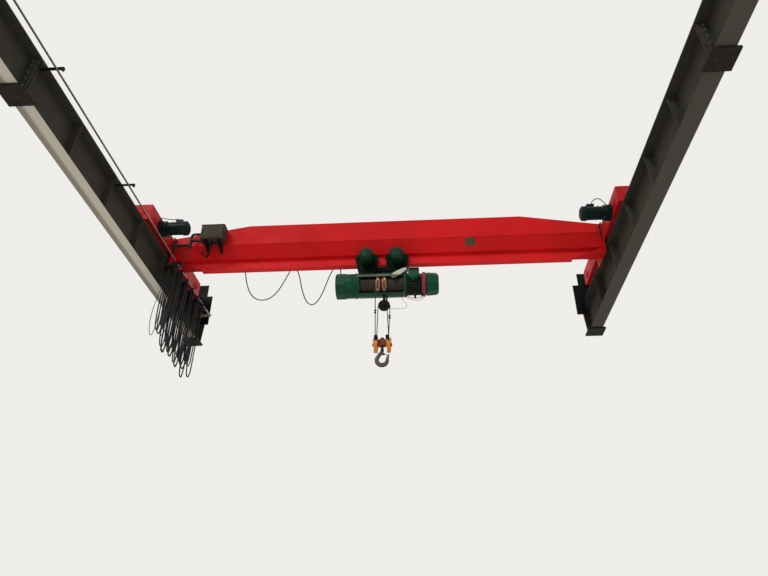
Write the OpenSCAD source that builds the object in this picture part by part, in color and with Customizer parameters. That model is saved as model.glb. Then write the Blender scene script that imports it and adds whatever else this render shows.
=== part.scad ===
// Overhead bridge crane: one box-trough girder between two end trucks,
// an electric rope hoist under it, and the two runway beams that carry the bridge.
// X runs across the span, Y along the runway, away from the viewer, and Z is up.
// The origin is the middle of the underside of the left far bearing plate.

/* [Runway] */
// Rail centre to rail centre
span = 7500; // [6500:100:9000]
// Length of one runway bay
bay_l = 6000; // [5000:1000:7000]
// Number of bays
bays = 2; // [2:1:4]
// Height of a runway beam
beam_h = 560; // [480:10:640]
// Width of its top flange
beam_top_w = 296; // [260:4:300]
// Width of its bottom flange
beam_bot_w = 210; // [180:10:260]
// Thickness of its flanges
beam_flange_t = 16; // [12:1:22]
// Thickness of its web and ribs
beam_web_t = 12; // [8:1:16]
// Distance between web ribs
rib_pitch = 1000; // [800:50:1500]
// Gap between two beams at a joint
beam_gap = 10; // [4:1:20]
// Length of beam past the middle of the far bearing
beam_over = 160; // [150:10:240]
// Size of a bearing plate across the beam
bearing_w = 305; // [260:5:360]
// Size of a bearing plate along the beam
bearing_l = 300; // [240:10:300]
// Thickness of a bearing plate
bearing_t = 30; // [20:1:40]

/* [Rail] */
// Height of the rail
rail_h = 90; // [70:1:120]
// Width of the rail head
rail_head_w = 40; // [30:1:50]
// Width of the rail foot
rail_foot_w = 80; // [70:1:100]

/* [Messenger wire] */
// Distance between the brackets of the messenger wire
bracket_pitch = 1990; // [1500:10:2500]
// Distance of the messenger wire from the left rail
wire_x = 355; // [340:5:380]
// Depth of the messenger wire below the beam's top
wire_drop = 166; // [160:2:200]
// Radius of the messenger wire
wire_r = 6; // [4:0.5:8]

/* [End stops] */
// Height of the stop above the beam
stop_h = 540; // [480:10:600]
// Half width of the stop's post
stop_post_half = 220; // [180:5:240]
// How far the shoulder plate reaches inwards from the rail
stop_reach = 325; // [300:5:345]
// Height of the shoulder above the beam
stop_step_h = 290; // [250:10:320]
// How far the shoulder plate hangs below the beam's top
stop_drop = 320; // [240:10:340]
// Distance of the stop's plate from the middle of the far bearing, towards the crane
stop_front = 210; // [180:10:230]
// Diameter of the rubber buffer
buffer_d = 120; // [100:5:140]
// Length of the rubber buffer
buffer_l = 110; // [90:5:130]
// Length of the gusset's foot behind the stop
gusset_l = 260; // [200:10:280]

/* [Bridge] */
// Distance from the far bearing to the middle of the parked crane
park = 1700; // [1600:10:1900]
// Length of an end truck
truck_l = 2400; // [2300:50:2500]
// Width of an end truck
truck_w = 330; // [300:10:350]
// Height of an end truck
truck_h = 280; // [260:5:320]
// Plate thickness of trucks and girder
plate_t = 10; // [6:1:12]
// Clear height of the truck above the rail
truck_lift = 22; // [12:1:30]
// Distance of a bridge wheel's axle from the truck's end
wheel_inset = 200; // [190:5:240]
// Tread diameter of a bridge wheel
wheel_d = 270; // [250:5:290]
// Height of its flanges
wheel_lip = 14; // [10:1:18]
// Width of its tread between the flanges
tread_w = 54; // [50:1:60]
// Thickness of one flange
lip_t = 16; // [12:1:20]
// Diameter of its axle
axle_d = 60; // [50:1:70]

/* [Girder] */
// Full height of the girder
girder_h = 780; // [720:10:860]
// Height of the girder where it meets the trucks
girder_end_h = 560; // [520:10:600]
// Width of the box
girder_w = 400; // [360:10:440]
// Half length of the full-height part
level_half = 2300; // [2000:50:2600]
// Height of the sloped plates
slope_h = 190; // [170:5:220]
// Height of the rolled beam under the box
ibeam_h = 215; // [205:5:250]
// Flange width of the rolled beam
ibeam_w = 116; // [100:2:130]
// Flange thickness of the rolled beam
ibeam_flange_t = 14; // [10:1:18]
// Web thickness of the rolled beam
ibeam_web_t = 9; // [7:1:12]
// How far the girder hangs below the trucks' underside
girder_drop = 242; // [220:1:260]
// Length of bottom flange that is cut back at each end
flange_cut = 480; // [400:10:560]
// Thickness of an end plate
end_plate_t = 16; // [12:1:20]
// Width of an end plate
end_plate_w = 520; // [480:10:580]

/* [Travel drives] */
// Distance of a drive from its wheel's axle
drive_offset = 232; // [220:1:250]
// Diameter of a travel motor
travel_motor_d = 220; // [180:5:240]
// Length of a travel motor
travel_motor_l = 330; // [280:5:380]

/* [Control box] */
// Middle of the control box, left of midspan
cab_x = 2870; // [2700:10:2950]
// Width of the control box
cab_w = 388; // [320:4:440]
// Depth of the control box
cab_d = 195; // [160:5:220]
// Height of the control box
cab_h = 276; // [240:4:320]
// Gap between the girder and the control box
cab_gap = 25; // [15:5:40]
// Top of the control box above the girder's underside
cab_top = 675; // [620:5:700]
// Conduit post, left of midspan
post_x = 3250; // [3200:10:3300]

/* [Girder festoon] */
// Height of its taut wire above the girder's underside
fest_h = 300; // [280:5:320]
// Distance of its taut wire from the girder's middle
fest_y = 330; // [310:5:350]
// Left end of its taut wire, left of midspan
fest_left = 2740; // [2700:10:2800]
// Right end of its taut wire, left of midspan
fest_right = 700; // [640:10:760]

/* [Trolley] */
// Place of the trolley's middle along the girder, from midspan
trolley_x = -26; // [-400:1:400]
// Distance between the two wheel units
unit_pitch = 497; // [470:1:540]
// Distance between the axles of a unit
axle_pitch = 212; // [205:1:225]
// Tread diameter of a trolley wheel
twheel_d = 162; // [150:1:166]
// Height of its flange
twheel_lip = 11; // [8:1:13]
// Gap from the rolled beam's flange to a trolley side plate
side_gap = 26; // [24:1:34]
// Thickness of a side plate
side_t = 12; // [8:1:16]
// Diameter of a trolley motor
trolley_motor_d = 228; // [200:2:240]

/* [Hoist] */
// Depth of the hoist's axis below the girder's underside
hoist_drop = 376; // [360:2:420]
// Radius of the drum housing
shell_r = 203; // [190:1:212]
// Thickness of the drum housing
shell_t = 8; // [6:1:12]
// Length of the drum housing
shell_l = 820; // [760:10:900]
// Radius of the rope drum with its rope
drum_r = 158; // [140:1:166]
// Diameter of the hoist rope
rope_d = 13; // [11:1:16]
// Length of the hoist gearbox
gearbox_l = 323; // [280:1:360]
// Radius of the hoist gearbox
gearbox_r = 213; // [205:1:225]
// Radius of the hoist motor
motor_r = 178; // [160:1:190]
// Length of the hoist motor
motor_l = 330; // [300:5:380]
// Length of the motor's end cover
cover_l = 195; // [160:5:220]
// Radius of the balance sheave cover
balance_r = 90; // [84:1:100]

/* [Hook block] */
// Depth of the block's axle below the hoist's axis
block_drop = 1080; // [1000:10:1400]
// Distance between the two block sheaves
sheave_pitch = 204; // [180:2:230]
// Radius of a block sheave
sheave_r = 105; // [95:1:115]
// Diameter of the hook's shank
shank_d = 46; // [40:1:52]
// Inner radius of the hook's bowl
bowl_r = 50; // [44:1:56]

/* [Running gaps] */
// Gap between a wheel's tread and what it runs on
run_gap = 0.3; // [0.2:0.1:0.5]
// Radial gap in a bore that turns on a pin
pin_gap = 0.5; // [0.3:0.1:0.8]

/* [Hidden] */
$fn = 48;
e = 0.01;

// Levels, from the bearing plate up.
beam_z = bearing_t;
beam_top = beam_z + beam_h;
rail_top = beam_top + rail_h;
wheel_z = rail_top + wheel_d / 2;
truck_z = rail_top + truck_lift;
truck_top = truck_z + truck_h;
girder_z = truck_z - girder_drop;
girder_top = girder_z + girder_h;
wire_z = beam_top - wire_drop;
tread_z = girder_z + ibeam_flange_t;
twheel_z = tread_z + twheel_d / 2;
hoist_z = girder_z - hoist_drop;
block_z = hoist_z - block_drop;

// Places along and across.
mid_x = span / 2;
crane_y = -park;
runway_near = -bays * bay_l;
wheelbase = truck_l - 2 * wheel_inset;
truck_face = mid_x - truck_w / 2;
end_plate_x = truck_face - end_plate_t;
hoist_x = mid_x + trolley_x;
side_y = ibeam_w / 2 + side_gap;
slope_top = girder_z + ibeam_h + slope_h - plate_t;
ibeam_top = girder_z + ibeam_h;

// A box from its lowest to its highest corner.
module block(a, b) {
    translate(a) cube(b - a);
}
// A cylinder of radius r along X, from x = a to x = b.
module rod_x(r, a, b) {
    translate([a, 0, 0]) rotate([0, 90, 0]) cylinder(r = r, h = b - a);
}
// A cylinder of radius r along Y, from y = a to y = b.
module rod_y(r, a, b) {
    translate([0, a, 0]) rotate([-90, 0, 0]) cylinder(r = r, h = b - a);
}
// A solid of revolution along X: each point is [radius, x].
module turned_x(points) {
    rotate([0, 90, 0]) rotate_extrude() polygon(points);
}
// Both sides of the span, seen from midspan.
module both_ends() {
    children();
    mirror([1, 0, 0]) children();
}
module at_crane() {
    translate([mid_x, crane_y, 0]) children();
}
module at_hoist() {
    translate([hoist_x, crane_y, hoist_z]) children();
}

// Runway
function beam_start(i) = -(i + 1) * bay_l + (i == bays - 1 ? -beam_over : beam_gap / 2);
function beam_end(i) = -i * bay_l + (i == 0 ? beam_over : -beam_gap / 2);

module bearing_plates() color("dimgray")
    for (x = [0, span], i = [0:bays])
        block([x - bearing_w / 2, -i * bay_l - bearing_l / 2, 0],
              [x + bearing_w / 2, -i * bay_l + bearing_l / 2, bearing_t]);

module beam_section() {
    translate([-beam_bot_w / 2, 0]) square([beam_bot_w, beam_flange_t]);
    translate([-beam_web_t / 2, 0]) square([beam_web_t, beam_h]);
    translate([-beam_top_w / 2, beam_h - beam_flange_t]) square([beam_top_w, beam_flange_t]);
}
// One rib plate reaches from flange to flange on one side of the web.
module rib(y) {
    inner_h = beam_h - 2 * beam_flange_t;
    translate([0, y + beam_web_t / 2, beam_z + beam_flange_t]) rotate([90, 0, 0])
        linear_extrude(beam_web_t) polygon([
            [-beam_bot_w / 2 + 8, 0], [beam_bot_w / 2 - 8, 0],
            [beam_top_w / 2 - 12, inner_h], [-beam_top_w / 2 + 12, inner_h]]);
}
module runway_beam(x) color([0.27, 0.27, 0.25]) translate([x, 0, 0])
    for (i = [0:bays - 1]) {
        first = beam_start(i);
        last = beam_end(i);
        translate([0, last, beam_z]) rotate([90, 0, 0])
            linear_extrude(last - first) beam_section();
        for (k = [1:floor(bay_l / rib_pitch) - 1]) rib(-i * bay_l - k * rib_pitch);
        rib(last - beam_web_t);
        rib(first + beam_web_t);
    }
module runway_beam_left() runway_beam(0);
module runway_beam_right() runway_beam(span);

module rail_section() {
    foot_t = 10;
    head_h = 28;
    web_t = 12;
    polygon([
        [-rail_foot_w / 2, 0], [rail_foot_w / 2, 0], [rail_foot_w / 2, foot_t - 3],
        [web_t / 2, foot_t + 8], [web_t / 2, rail_h - head_h - 5],
        [rail_head_w / 2, rail_h - head_h + 2], [rail_head_w / 2, rail_h - 5],
        [rail_head_w / 2 - 5, rail_h], [-rail_head_w / 2 + 5, rail_h],
        [-rail_head_w / 2, rail_h - 5], [-rail_head_w / 2, rail_h - head_h + 2],
        [-web_t / 2, rail_h - head_h - 5], [-web_t / 2, foot_t + 8],
        [-rail_foot_w / 2, foot_t - 3]]);
}
module crane_rails() color([0.34, 0.25, 0.2])
    for (x = [0, span])
        translate([x, beam_end(0), beam_top]) rotate([90, 0, 0])
            linear_extrude(beam_end(0) - beam_start(bays - 1)) rail_section();

// A stepped plate astride the rail, with a leg inside the beam, two gussets and a rubber buffer.
module end_stop() {
    t = 20;
    leg_gap = 3;
    translate([0, -stop_front + t, beam_top]) rotate([90, 0, 0]) linear_extrude(t) difference() {
        polygon([
            [-beam_top_w / 2 - leg_gap, 0], [-beam_top_w / 2 - leg_gap, -stop_drop],
            [-stop_reach, -stop_drop], [-stop_reach, stop_step_h],
            [-stop_post_half, stop_step_h], [-stop_post_half, stop_h],
            [stop_post_half, stop_h], [stop_post_half, 0]]);
        translate([-rail_foot_w / 2 - 2, -1]) square([rail_foot_w + 4, rail_h + 3]);
    }
    for (s = [-1, 1])
        translate([s * 90 - 8, -stop_front + t, beam_top]) rotate([90, 0, 90])
            linear_extrude(16) polygon([[0, 0], [gusset_l, 0], [40, stop_h * 0.8], [0, stop_h * 0.8]]);
    translate([0, 0, wheel_z + 40]) rod_y(buffer_d / 2, -stop_front - buffer_l, -stop_front);
}
module end_stops() color([0.07, 0.07, 0.07]) {
    translate([span, 0, 0]) end_stop();
    mirror([1, 0, 0]) end_stop();
}

// Messenger wire inside the left beam, for the runway festoon
bracket_ys = [for (k = [1:floor((bays * bay_l + beam_over - 60) / bracket_pitch)]) -k * bracket_pitch];
arm_z = wire_z + 21;
arm_t = 6;
hanger_x = beam_top_w / 2 - 8;
module wire_hangers() color([0.1, 0.1, 0.1]) for (y = bracket_ys)
    block([hanger_x, y - 20, arm_z + arm_t], [hanger_x + 8, y + 20, beam_top - beam_flange_t]);
module wire_arms() color([0.1, 0.1, 0.1]) {
    half_w = 20;
    for (y = bracket_ys) {
        block([hanger_x, y - half_w, arm_z], [wire_x + 70, y + half_w, arm_z + arm_t]);
        translate([wire_x + 58, y, arm_z - 12]) cylinder(r = 10, h = 13);
        difference() {
            block([wire_x - 2, y - 15, wire_z], [wire_x + 2, y + 15, arm_z + 1]);
            translate([wire_x, 0, wire_z]) rod_y(wire_r + 0.3, y - half_w, y + half_w);
        }
    }
}
module messenger_wire() color("silver") {
    eye_y = -stop_front - 60;
    last_y = bracket_ys[len(bracket_ys) - 1];
    translate([wire_x, 0, wire_z]) {
        rod_y(wire_r, last_y - 80, eye_y - 10 - run_gap);
        rod_y(wire_r + 7, eye_y - 190, eye_y - 20);
        rod_y(wire_r + 5, last_y - 60, last_y - 25);
    }
    eye_x = beam_top_w / 2 + 12;
    block([eye_x, eye_y - 10, wire_z - 25], [wire_x + 25, eye_y + 10, wire_z + 25]);
    block([eye_x, eye_y - 10, wire_z - 25], [eye_x + 20, -stop_front, wire_z + 25]);
}

// Girder
module along_girder(half) {
    translate([-half, 0, 0]) rotate([90, 0, 90]) linear_extrude(2 * half) children();
}
module side_outline(extra) {
    polygon([
        [-end_plate_x, girder_z - 1], [end_plate_x, girder_z - 1],
        [end_plate_x, girder_z + girder_end_h + extra], [level_half, girder_top + extra],
        [-level_half, girder_top + extra], [-end_plate_x, girder_z + girder_end_h + extra]]);
}
module box_side() {
    web_low = slope_top + plate_t;
    translate([girder_w / 2 - plate_t, web_low]) square([plate_t, girder_top - web_low]);
    polygon([
        [girder_w / 2, web_low], [girder_w / 2 - plate_t, web_low],
        [ibeam_w / 2, ibeam_top], [ibeam_w / 2, ibeam_top - ibeam_flange_t],
        [ibeam_w / 2 + plate_t, ibeam_top - ibeam_flange_t]]);
}
module girder_box() color([0.75, 0.07, 0.08]) at_crane() {
    intersection() {
        along_girder(end_plate_x) {
            box_side();
            mirror([1, 0]) box_side();
        }
        translate([0, girder_w, 0]) rotate([90, 0, 0]) linear_extrude(2 * girder_w) side_outline(0);
    }
    translate([0, girder_w / 2, 0]) rotate([90, 0, 0]) linear_extrude(girder_w) difference() {
        side_outline(0);
        side_outline(-plate_t);
    }
}
// The rolled beam's foot, which is cut back at each end, its web and its head
module girder_beam_foot() color([0.8, 0.1, 0.1]) at_crane() along_girder(end_plate_x - flange_cut)
    translate([-ibeam_w / 2, girder_z]) square([ibeam_w, ibeam_flange_t]);
module girder_beam_web() color([0.8, 0.1, 0.1]) at_crane() along_girder(end_plate_x)
    translate([-ibeam_web_t / 2, tread_z]) square([ibeam_web_t, ibeam_h - 2 * ibeam_flange_t]);
module girder_beam_head() color([0.8, 0.1, 0.1]) at_crane() along_girder(end_plate_x)
    translate([-ibeam_w / 2, ibeam_top - ibeam_flange_t]) square([ibeam_w, ibeam_flange_t]);
// A flared plate closes the corner between the rolled beam's foot and the end plate.
module flare_plate() {
    hull() {
        translate([end_plate_x - flange_cut, ibeam_web_t / 2, girder_z + ibeam_flange_t + 4])
            cube([1, 1, 1]);
        translate([end_plate_x - 1, ibeam_web_t / 2, girder_z]) cube([1, 4, 4]);
        translate([end_plate_x - 1, ibeam_w / 2 - 6, ibeam_top - ibeam_flange_t - 16])
            cube([1, 4, 8]);
    }
}
module girder_end_plates() color([0.7, 0.07, 0.08]) at_crane() both_ends() {
    block([end_plate_x, -end_plate_w / 2, girder_z], [truck_face, end_plate_w / 2, girder_z + girder_end_h]);
    for (s = [0, 1]) mirror([0, s, 0]) flare_plate();
}

// End trucks
module end_truck(side) {
    x = side * mid_x;
    in_w = truck_w / 2 - plate_t;
    well_w = wheel_w / 2 + 12;
    well_l = wheel_d / 2 + wheel_lip + 12;
    translate([x, 0, 0]) difference() {
        block([-truck_w / 2, -truck_l / 2, truck_z], [truck_w / 2, truck_l / 2, truck_top]);
        block([-in_w, -truck_l / 2 + plate_t, truck_z + plate_t],
              [in_w, truck_l / 2 - plate_t, truck_top - plate_t]);
        for (s = [-1, 1])
            block([-well_w, s * wheelbase / 2 - well_l, truck_z - 1],
                  [well_w, min(s * wheelbase / 2 + well_l, truck_l / 2 - plate_t), truck_z + plate_t + 1]);
    }
    for (s = [-1, 1])
        translate([x, s * wheelbase / 2, wheel_z]) {
            rod_x(axle_d / 2, -truck_w / 2 + 1, truck_w / 2 - 1);
            for (t = [0, 1]) mirror([t, 0, 0])
                rod_x(axle_d / 2 + 22, wheel_w / 2 + pin_gap, in_w + 1);
        }
}
wheel_w = tread_w + 2 * lip_t;
// Seam between a wheel's tread and its flange ring
rim_seam = 0.3;
module end_truck_left() color([0.78, 0.07, 0.08]) at_crane() end_truck(-1);
module end_truck_right() color([0.78, 0.07, 0.08]) at_crane() end_truck(1);

module bridge_wheel(side, s) color([0.3, 0.3, 0.32])
    translate([mid_x + side * mid_x, crane_y + s * wheelbase / 2, wheel_z]) {
        r = wheel_d / 2 - run_gap;
        rim = r + wheel_lip;
        bore = axle_d / 2 + pin_gap;
        turned_x([[bore, -tread_w / 2], [r, -tread_w / 2], [r, tread_w / 2], [bore, tread_w / 2]]);
        // Flange rings beside the tread
        for (m = [0, 1]) mirror([m, 0, 0]) turned_x([
            [bore, tread_w / 2 + rim_seam], [r, tread_w / 2 + rim_seam],
            [rim, tread_w / 2 + rim_seam + 4], [rim, wheel_w / 2 - 4], [rim - 4, wheel_w / 2],
            [bore, wheel_w / 2]]);
    }
module bridge_wheel_left_near() bridge_wheel(-1, -1);
module bridge_wheel_left_far() bridge_wheel(-1, 1);
module bridge_wheel_right_near() bridge_wheel(1, -1);
module bridge_wheel_right_far() bridge_wheel(1, 1);

// Travel drives on the trucks' inner faces
drive_y = -wheelbase / 2 + drive_offset;
drive_r = travel_motor_d / 2;
gear_x = truck_face - 110;
module travel_gearboxes() color([0.1, 0.17, 0.18]) at_crane() both_ends()
    translate([0, drive_y, wheel_z]) {
        difference() {
            rod_x(drive_r + 18, gear_x, truck_face);
            translate([gear_x - 1, -drive_r, drive_r - 2]) cube([60, 2 * drive_r, 60]);
        }
        rod_x(drive_r - 20, gear_x - 20, gear_x + 1);
        block([gear_x + 20, -drive_r - 35, -45], [truck_face, -drive_r + 10, 45]);
        block([gear_x + 20, drive_r - 10, -45], [truck_face, drive_r + 35, 45]);
    }
module travel_motors() color([0.08, 0.16, 0.19]) at_crane() both_ends()
    translate([0, drive_y, wheel_z]) {
        end_x = gear_x - 20 - travel_motor_l;
        difference() {
            rod_x(drive_r - 4, end_x + 70, gear_x - 20);
            for (a = [0:20:340]) rotate([a, 0, 0])
                block([end_x + 90, -3, drive_r - 12], [gear_x - 50, 3, drive_r + 5]);
        }
        turned_x([[0, end_x], [drive_r - 32, end_x], [drive_r - 8, end_x + 22],
                  [drive_r, end_x + 40], [drive_r, end_x + 76], [0, end_x + 76]]);
        block([end_x + travel_motor_l * 0.36, -45, drive_r - 12],
              [end_x + travel_motor_l * 0.67, 45, drive_r + 34]);
    }

// Control box in front of the girder's left end
cab_x0 = -cab_x - cab_w / 2;
cab_y1 = -girder_w / 2 - cab_gap;
cab_z1 = girder_z + cab_top;
post_y = cab_y1 - cab_d / 2;
post_low = cab_z1 - cab_h - 120;
module control_box() color([0.3, 0.25, 0.22]) at_crane() {
    difference() {
        block([cab_x0, cab_y1 - cab_d, cab_z1 - cab_h], [cab_x0 + cab_w, cab_y1, cab_z1]);
        block([cab_x0 + 8, cab_y1 - cab_d - 1, cab_z1 - cab_h + 8],
              [cab_x0 + cab_w - 8, cab_y1 - cab_d + 10, cab_z1 - 8]);
    }
    block([cab_x0 + 10, cab_y1 - cab_d - 6, cab_z1 - cab_h + 10],
          [cab_x0 + cab_w - 10, cab_y1 - cab_d + 11, cab_z1 - 10]);
    block([cab_x0 - 8, cab_y1 - cab_d - 14, cab_z1 - 3], [cab_x0 + cab_w + 8, cab_y1, cab_z1 + 3]);
}
// How far the sloped plate's outer face is from the girder's middle at height z
function slope_y(z) =
    let (z0 = ibeam_top - ibeam_flange_t, y0 = ibeam_w / 2 + plate_t)
    y0 + (z - z0) * (girder_w / 2 - y0) / (slope_top + plate_t - z0);
module control_box_bracket() color([0.06, 0.06, 0.06]) at_crane() {
    low = cab_z1 - cab_h;
    foot = low - 120;
    front_y = cab_y1 - cab_d + 25;
    for (x = [cab_x0 + 60, cab_x0 + cab_w - 100])
        translate([x, 0, 0]) rotate([90, 0, 90]) linear_extrude(40) polygon([
            [-slope_y(foot), foot], [front_y, low - 14], [front_y, low], [cab_y1, low],
            [cab_y1, low + 70], [-girder_w / 2, low + 70], [-girder_w / 2, slope_top + plate_t],
            [-girder_w / 2 - 16, low - 20], [-slope_y(foot + 40) - 2, foot + 40],
            [-slope_y(foot + 25), foot + 25]]);
    // Conduit from the box to the post, and the post's arm from the truck
    pipe_z = low + 30;
    translate([0, post_y, pipe_z]) rod_x(14, -post_x, cab_x0);
    translate([-post_x, post_y, post_low]) cylinder(r = 16, h = pipe_z + 18 - post_low);
    translate([0, post_y, low - 60]) rod_x(12, -truck_face, -post_x);
}

// Festoon along the girder
fest_z = girder_z + fest_h;
fest_x0 = -fest_left;
fest_x1 = -fest_right;
fest_wire_r = 4;
module girder_festoon_wire() color("silver") at_crane() {
    translate([0, fest_y, fest_z]) rod_x(fest_wire_r, fest_x0, fest_x1);
    translate([festoon_route[0][0], 0, girder_z + festoon_route[0][2]])
        rod_y(fest_r + 5, girder_w / 2, festoon_route[0][1]);
    arm_low = fest_z + 130;
    for (x = [fest_x0 + 12, (fest_x0 + fest_x1) / 2 - 60, fest_x1 - 12]) {
        block([x - 15, girder_w / 2, arm_low], [x + 15, fest_y + 6, arm_low + 8]);
        difference() {
            block([x - 10, fest_y - 1.5, fest_z], [x + 10, fest_y + 1.5, arm_low + 1]);
            translate([0, fest_y, fest_z]) rod_x(fest_wire_r + 0.3, x - 20, x + 20);
        }
    }
}

// Sweep of a round cord along a list of points, its rings carried on from ring to ring.
function unit(v) = v / norm(v);
function tangent(p, i) = unit(p[min(i + 1, len(p) - 1)] - p[max(i - 1, 0)]);
function sides(p, u, i = 0) = i == len(p) ? [] :
    let (t = tangent(p, i), v = unit(u - (u * t) * t)) concat([v], sides(p, v, i + 1));
function ring(p, i, r, n, u) =
    let (w = cross(tangent(p, i), u))
    [for (k = [0:n - 1]) p[i] + r * (u * cos(360 * k / n) + w * sin(360 * k / n))];
function skin(m, n) = [
    [for (k = [0:n - 1]) k],
    for (i = [0:m - 2], k = [0:n - 1])
        [i * n + k, (i + 1) * n + k, (i + 1) * n + (k + 1) % n, i * n + (k + 1) % n],
    [for (k = [0:n - 1]) m * n - 1 - k]];
module cord(p, r, n, side) {
    m = len(p);
    u = sides(p, side);
    polyhedron([for (i = [0:m - 1]) each ring(p, i, r, n, u[i])], skin(m, n));
}
// A forged bar in the X-Z plane: each station is [x, z, half depth, half width].
module forged(stations, n) {
    m = len(stations);
    p = [for (s = stations) [s[0], 0, s[1]]];
    polyhedron([
        for (i = [0:m - 1], k = [0:n - 1])
            p[i] + stations[i][3] * [0, cos(360 * k / n), 0]
                + stations[i][2] * cross(tangent(p, i), [0, 1, 0]) * sin(360 * k / n)],
        skin(m, n));
}

// A runner on a wire along X: a slotted tube, two straps and a saddle for the cable below it.
module festoon_clip(wire, cable) {
    bore = wire + 0.8;
    wall = bore + 8;
    sit = clip_sit(wire, cable);
    saddle_r = arc_r * cos(22.5) - cable - 0.4;
    half = cable + 2;
    difference() {
        union() {
            rod_x(wall, -28, 28);
            for (m = [0, 1]) mirror([0, m, 0]) block([-14, half, sit - 18], [14, half + 4, 0]);
            translate([0, 0, sit]) rod_y(saddle_r, -half - 1, half + 1);
        }
        rod_x(bore, -30, 30);
        block([-30, -4, 0], [30, 4, wall + 1]);
    }
}
// Radius of a cable's bend over a saddle
arc_r = 46;
// Height of the saddle's middle below the wire
function clip_sit(wire, cable) = -(wire + 8.8 + cable + 1 + arc_r);
// A cable's bend over a saddle: distances along the wire and heights from the saddle's middle
bend = [for (a = [180:-45:0]) [arc_r * cos(a), arc_r * sin(a)]];

// Route of the girder's festoon cable: [x from midspan, y from the girder, z from its underside].
clip_xs = [-1600, -850];
fest_r = 9;
fest_sit = fest_h + clip_sit(fest_wire_r, fest_r);
function on_girder(x) = [for (q = bend) [x + q[0], fest_y, fest_sit + q[1]]];
festoon_route = [
    [-2500, 225, 430], [-2500, 251, 430], [-2500, 284, 410], [-2499, 303, 365], [-2497, 308, 300],
    [-2485, 312, 240], [-2446, 330, 150], [-2425, 330, 50], [-2385, 330, -90],
    [-2320, 330, -240], [-2220, 330, -350], [-2100, 330, -390], [-1975, 330, -360],
    [-1860, 330, -250], [-1775, 330, -90], [-1715, 330, 50], [-1675, 330, 150],
    each on_girder(clip_xs[0]),
    [-1520, 330, 150], [-1485, 330, 50], [-1450, 330, -100], [-1400, 330, -280],
    [-1330, 330, -440], [-1240, 330, -510], [-1150, 330, -450], [-1075, 330, -300],
    [-1015, 330, -110], [-965, 330, 50], [-925, 330, 150],
    each on_girder(clip_xs[1]),
    [-778, 330, 160], [-768, 328, 80], [-763, 310, 0], [-758, 270, -70], [-752, 215, -125],
    [-748, 165, -160], [-748, 150, -190], [-748, 150, -215]];
module girder_festoon_cable() color([0.08, 0.07, 0.07]) at_crane() translate([0, 0, girder_z])
    cord(festoon_route, fest_r, 8, [1, 0, 0]);
module girder_festoon_clips() color([0.1, 0.1, 0.1]) at_crane() for (x = clip_xs)
    translate([x, fest_y, fest_z]) festoon_clip(fest_wire_r, fest_r);

// Route of the runway's festoon cable over every clip's saddle:
// [x from the wire, y from the girder, z from the wire].
runway_r = 11;
run_ys = [-380, -120, 170, 460, 750, 1040];
run_low = [-1560, -1500, -1540, -1600, -1480];
run_sit = clip_sit(wire_r, runway_r);
function over_clip(y) = [for (q = bend) [0, y + q[0], run_sit + q[1]]];
function one_loop(y0, y1, low) =
    let (m = (y0 + y1) / 2) [
        [0, y0 + 44, -400], [0, y0 + 42, -900], [0, y0 + 52, -1300], [0, m - 50, low + 30],
        [0, m, low], [0, m + 50, low + 30], [0, y1 - 52, -1300], [0, y1 - 42, -900],
        [0, y1 - 44, -400]];
run_last = len(run_ys) - 1;
runway_route = [
    [0, run_ys[0] - arc_r, run_sit - 25],
    for (i = [0:run_last - 1]) each concat(
        over_clip(run_ys[i]), one_loop(run_ys[i], run_ys[i + 1], run_low[i])),
    each over_clip(run_ys[run_last]), [0, run_ys[run_last] + arc_r, run_sit - 60]];
module runway_festoon_cable() color([0.06, 0.06, 0.06]) translate([wire_x, crane_y, wire_z])
    cord(runway_route, runway_r, 8, [1, 0, 0]);
module runway_festoon_clips() color([0.1, 0.1, 0.1]) for (y = run_ys)
    translate([wire_x, crane_y + y, wire_z]) rotate([0, 0, 90]) festoon_clip(wire_r, runway_r);
// The lead from the conduit post down to the first clip
lead_route = [
    [145, -322, 315], [145, -322, 270], [143, -324, 200], [132, -336, 110], [112, -368, 20],
    [84, -410, -70], [50, -440, -140], [20, -440, -170], [4, -432, -160], [0, -426, -130],
    [0, -426, run_sit - 25.3]];
module festoon_lead() color([0.06, 0.06, 0.06]) translate([wire_x, crane_y, wire_z])
    cord(lead_route, runway_r, 8, [1, 0, 0]);

module trolley_stops() color([0.1, 0.1, 0.1]) at_crane() both_ends() for (s = [0, 1])
    mirror([0, s, 0])
        block([stop_x, ibeam_web_t / 2 + 0.3, tread_z], [stop_x + 40, ibeam_w / 2, tread_z + 70]);
stop_x = end_plate_x - flange_cut - 60;

// Trolley
unit_xs = [-unit_pitch / 2, unit_pitch / 2];
tpin_r = 16;
axle_xs = [for (u = unit_xs, s = [-1, 1]) u + s * axle_pitch / 2];
module trolley_wheel_pair(i) color([0.12, 0.12, 0.13])
    translate([hoist_x + axle_xs[i], crane_y, twheel_z]) for (m = [0, 1]) mirror([0, m, 0]) {
        r = twheel_d / 2 - run_gap;
        tread_in = 14;
        lip_in = ibeam_w / 2 + 3;
        bore = tpin_r + pin_gap;
        rotate([-90, 0, 0]) rotate_extrude() polygon([
            [bore, tread_in], [r - 3, tread_in], [r, tread_in + 3], [r, lip_in], [bore, lip_in]]);
        // Flange ring beside the tread
        rotate([-90, 0, 0]) rotate_extrude() polygon([
            [bore, lip_in + rim_seam], [r, lip_in + rim_seam],
            [r + twheel_lip, lip_in + rim_seam + 4], [r + twheel_lip, lip_in + 12],
            [r - 12, side_y - 4], [bore, side_y - 4]]);
    }
module trolley_wheels_1() trolley_wheel_pair(0);
module trolley_wheels_2() trolley_wheel_pair(1);
module trolley_wheels_3() trolley_wheel_pair(2);
module trolley_wheels_4() trolley_wheel_pair(3);

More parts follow.
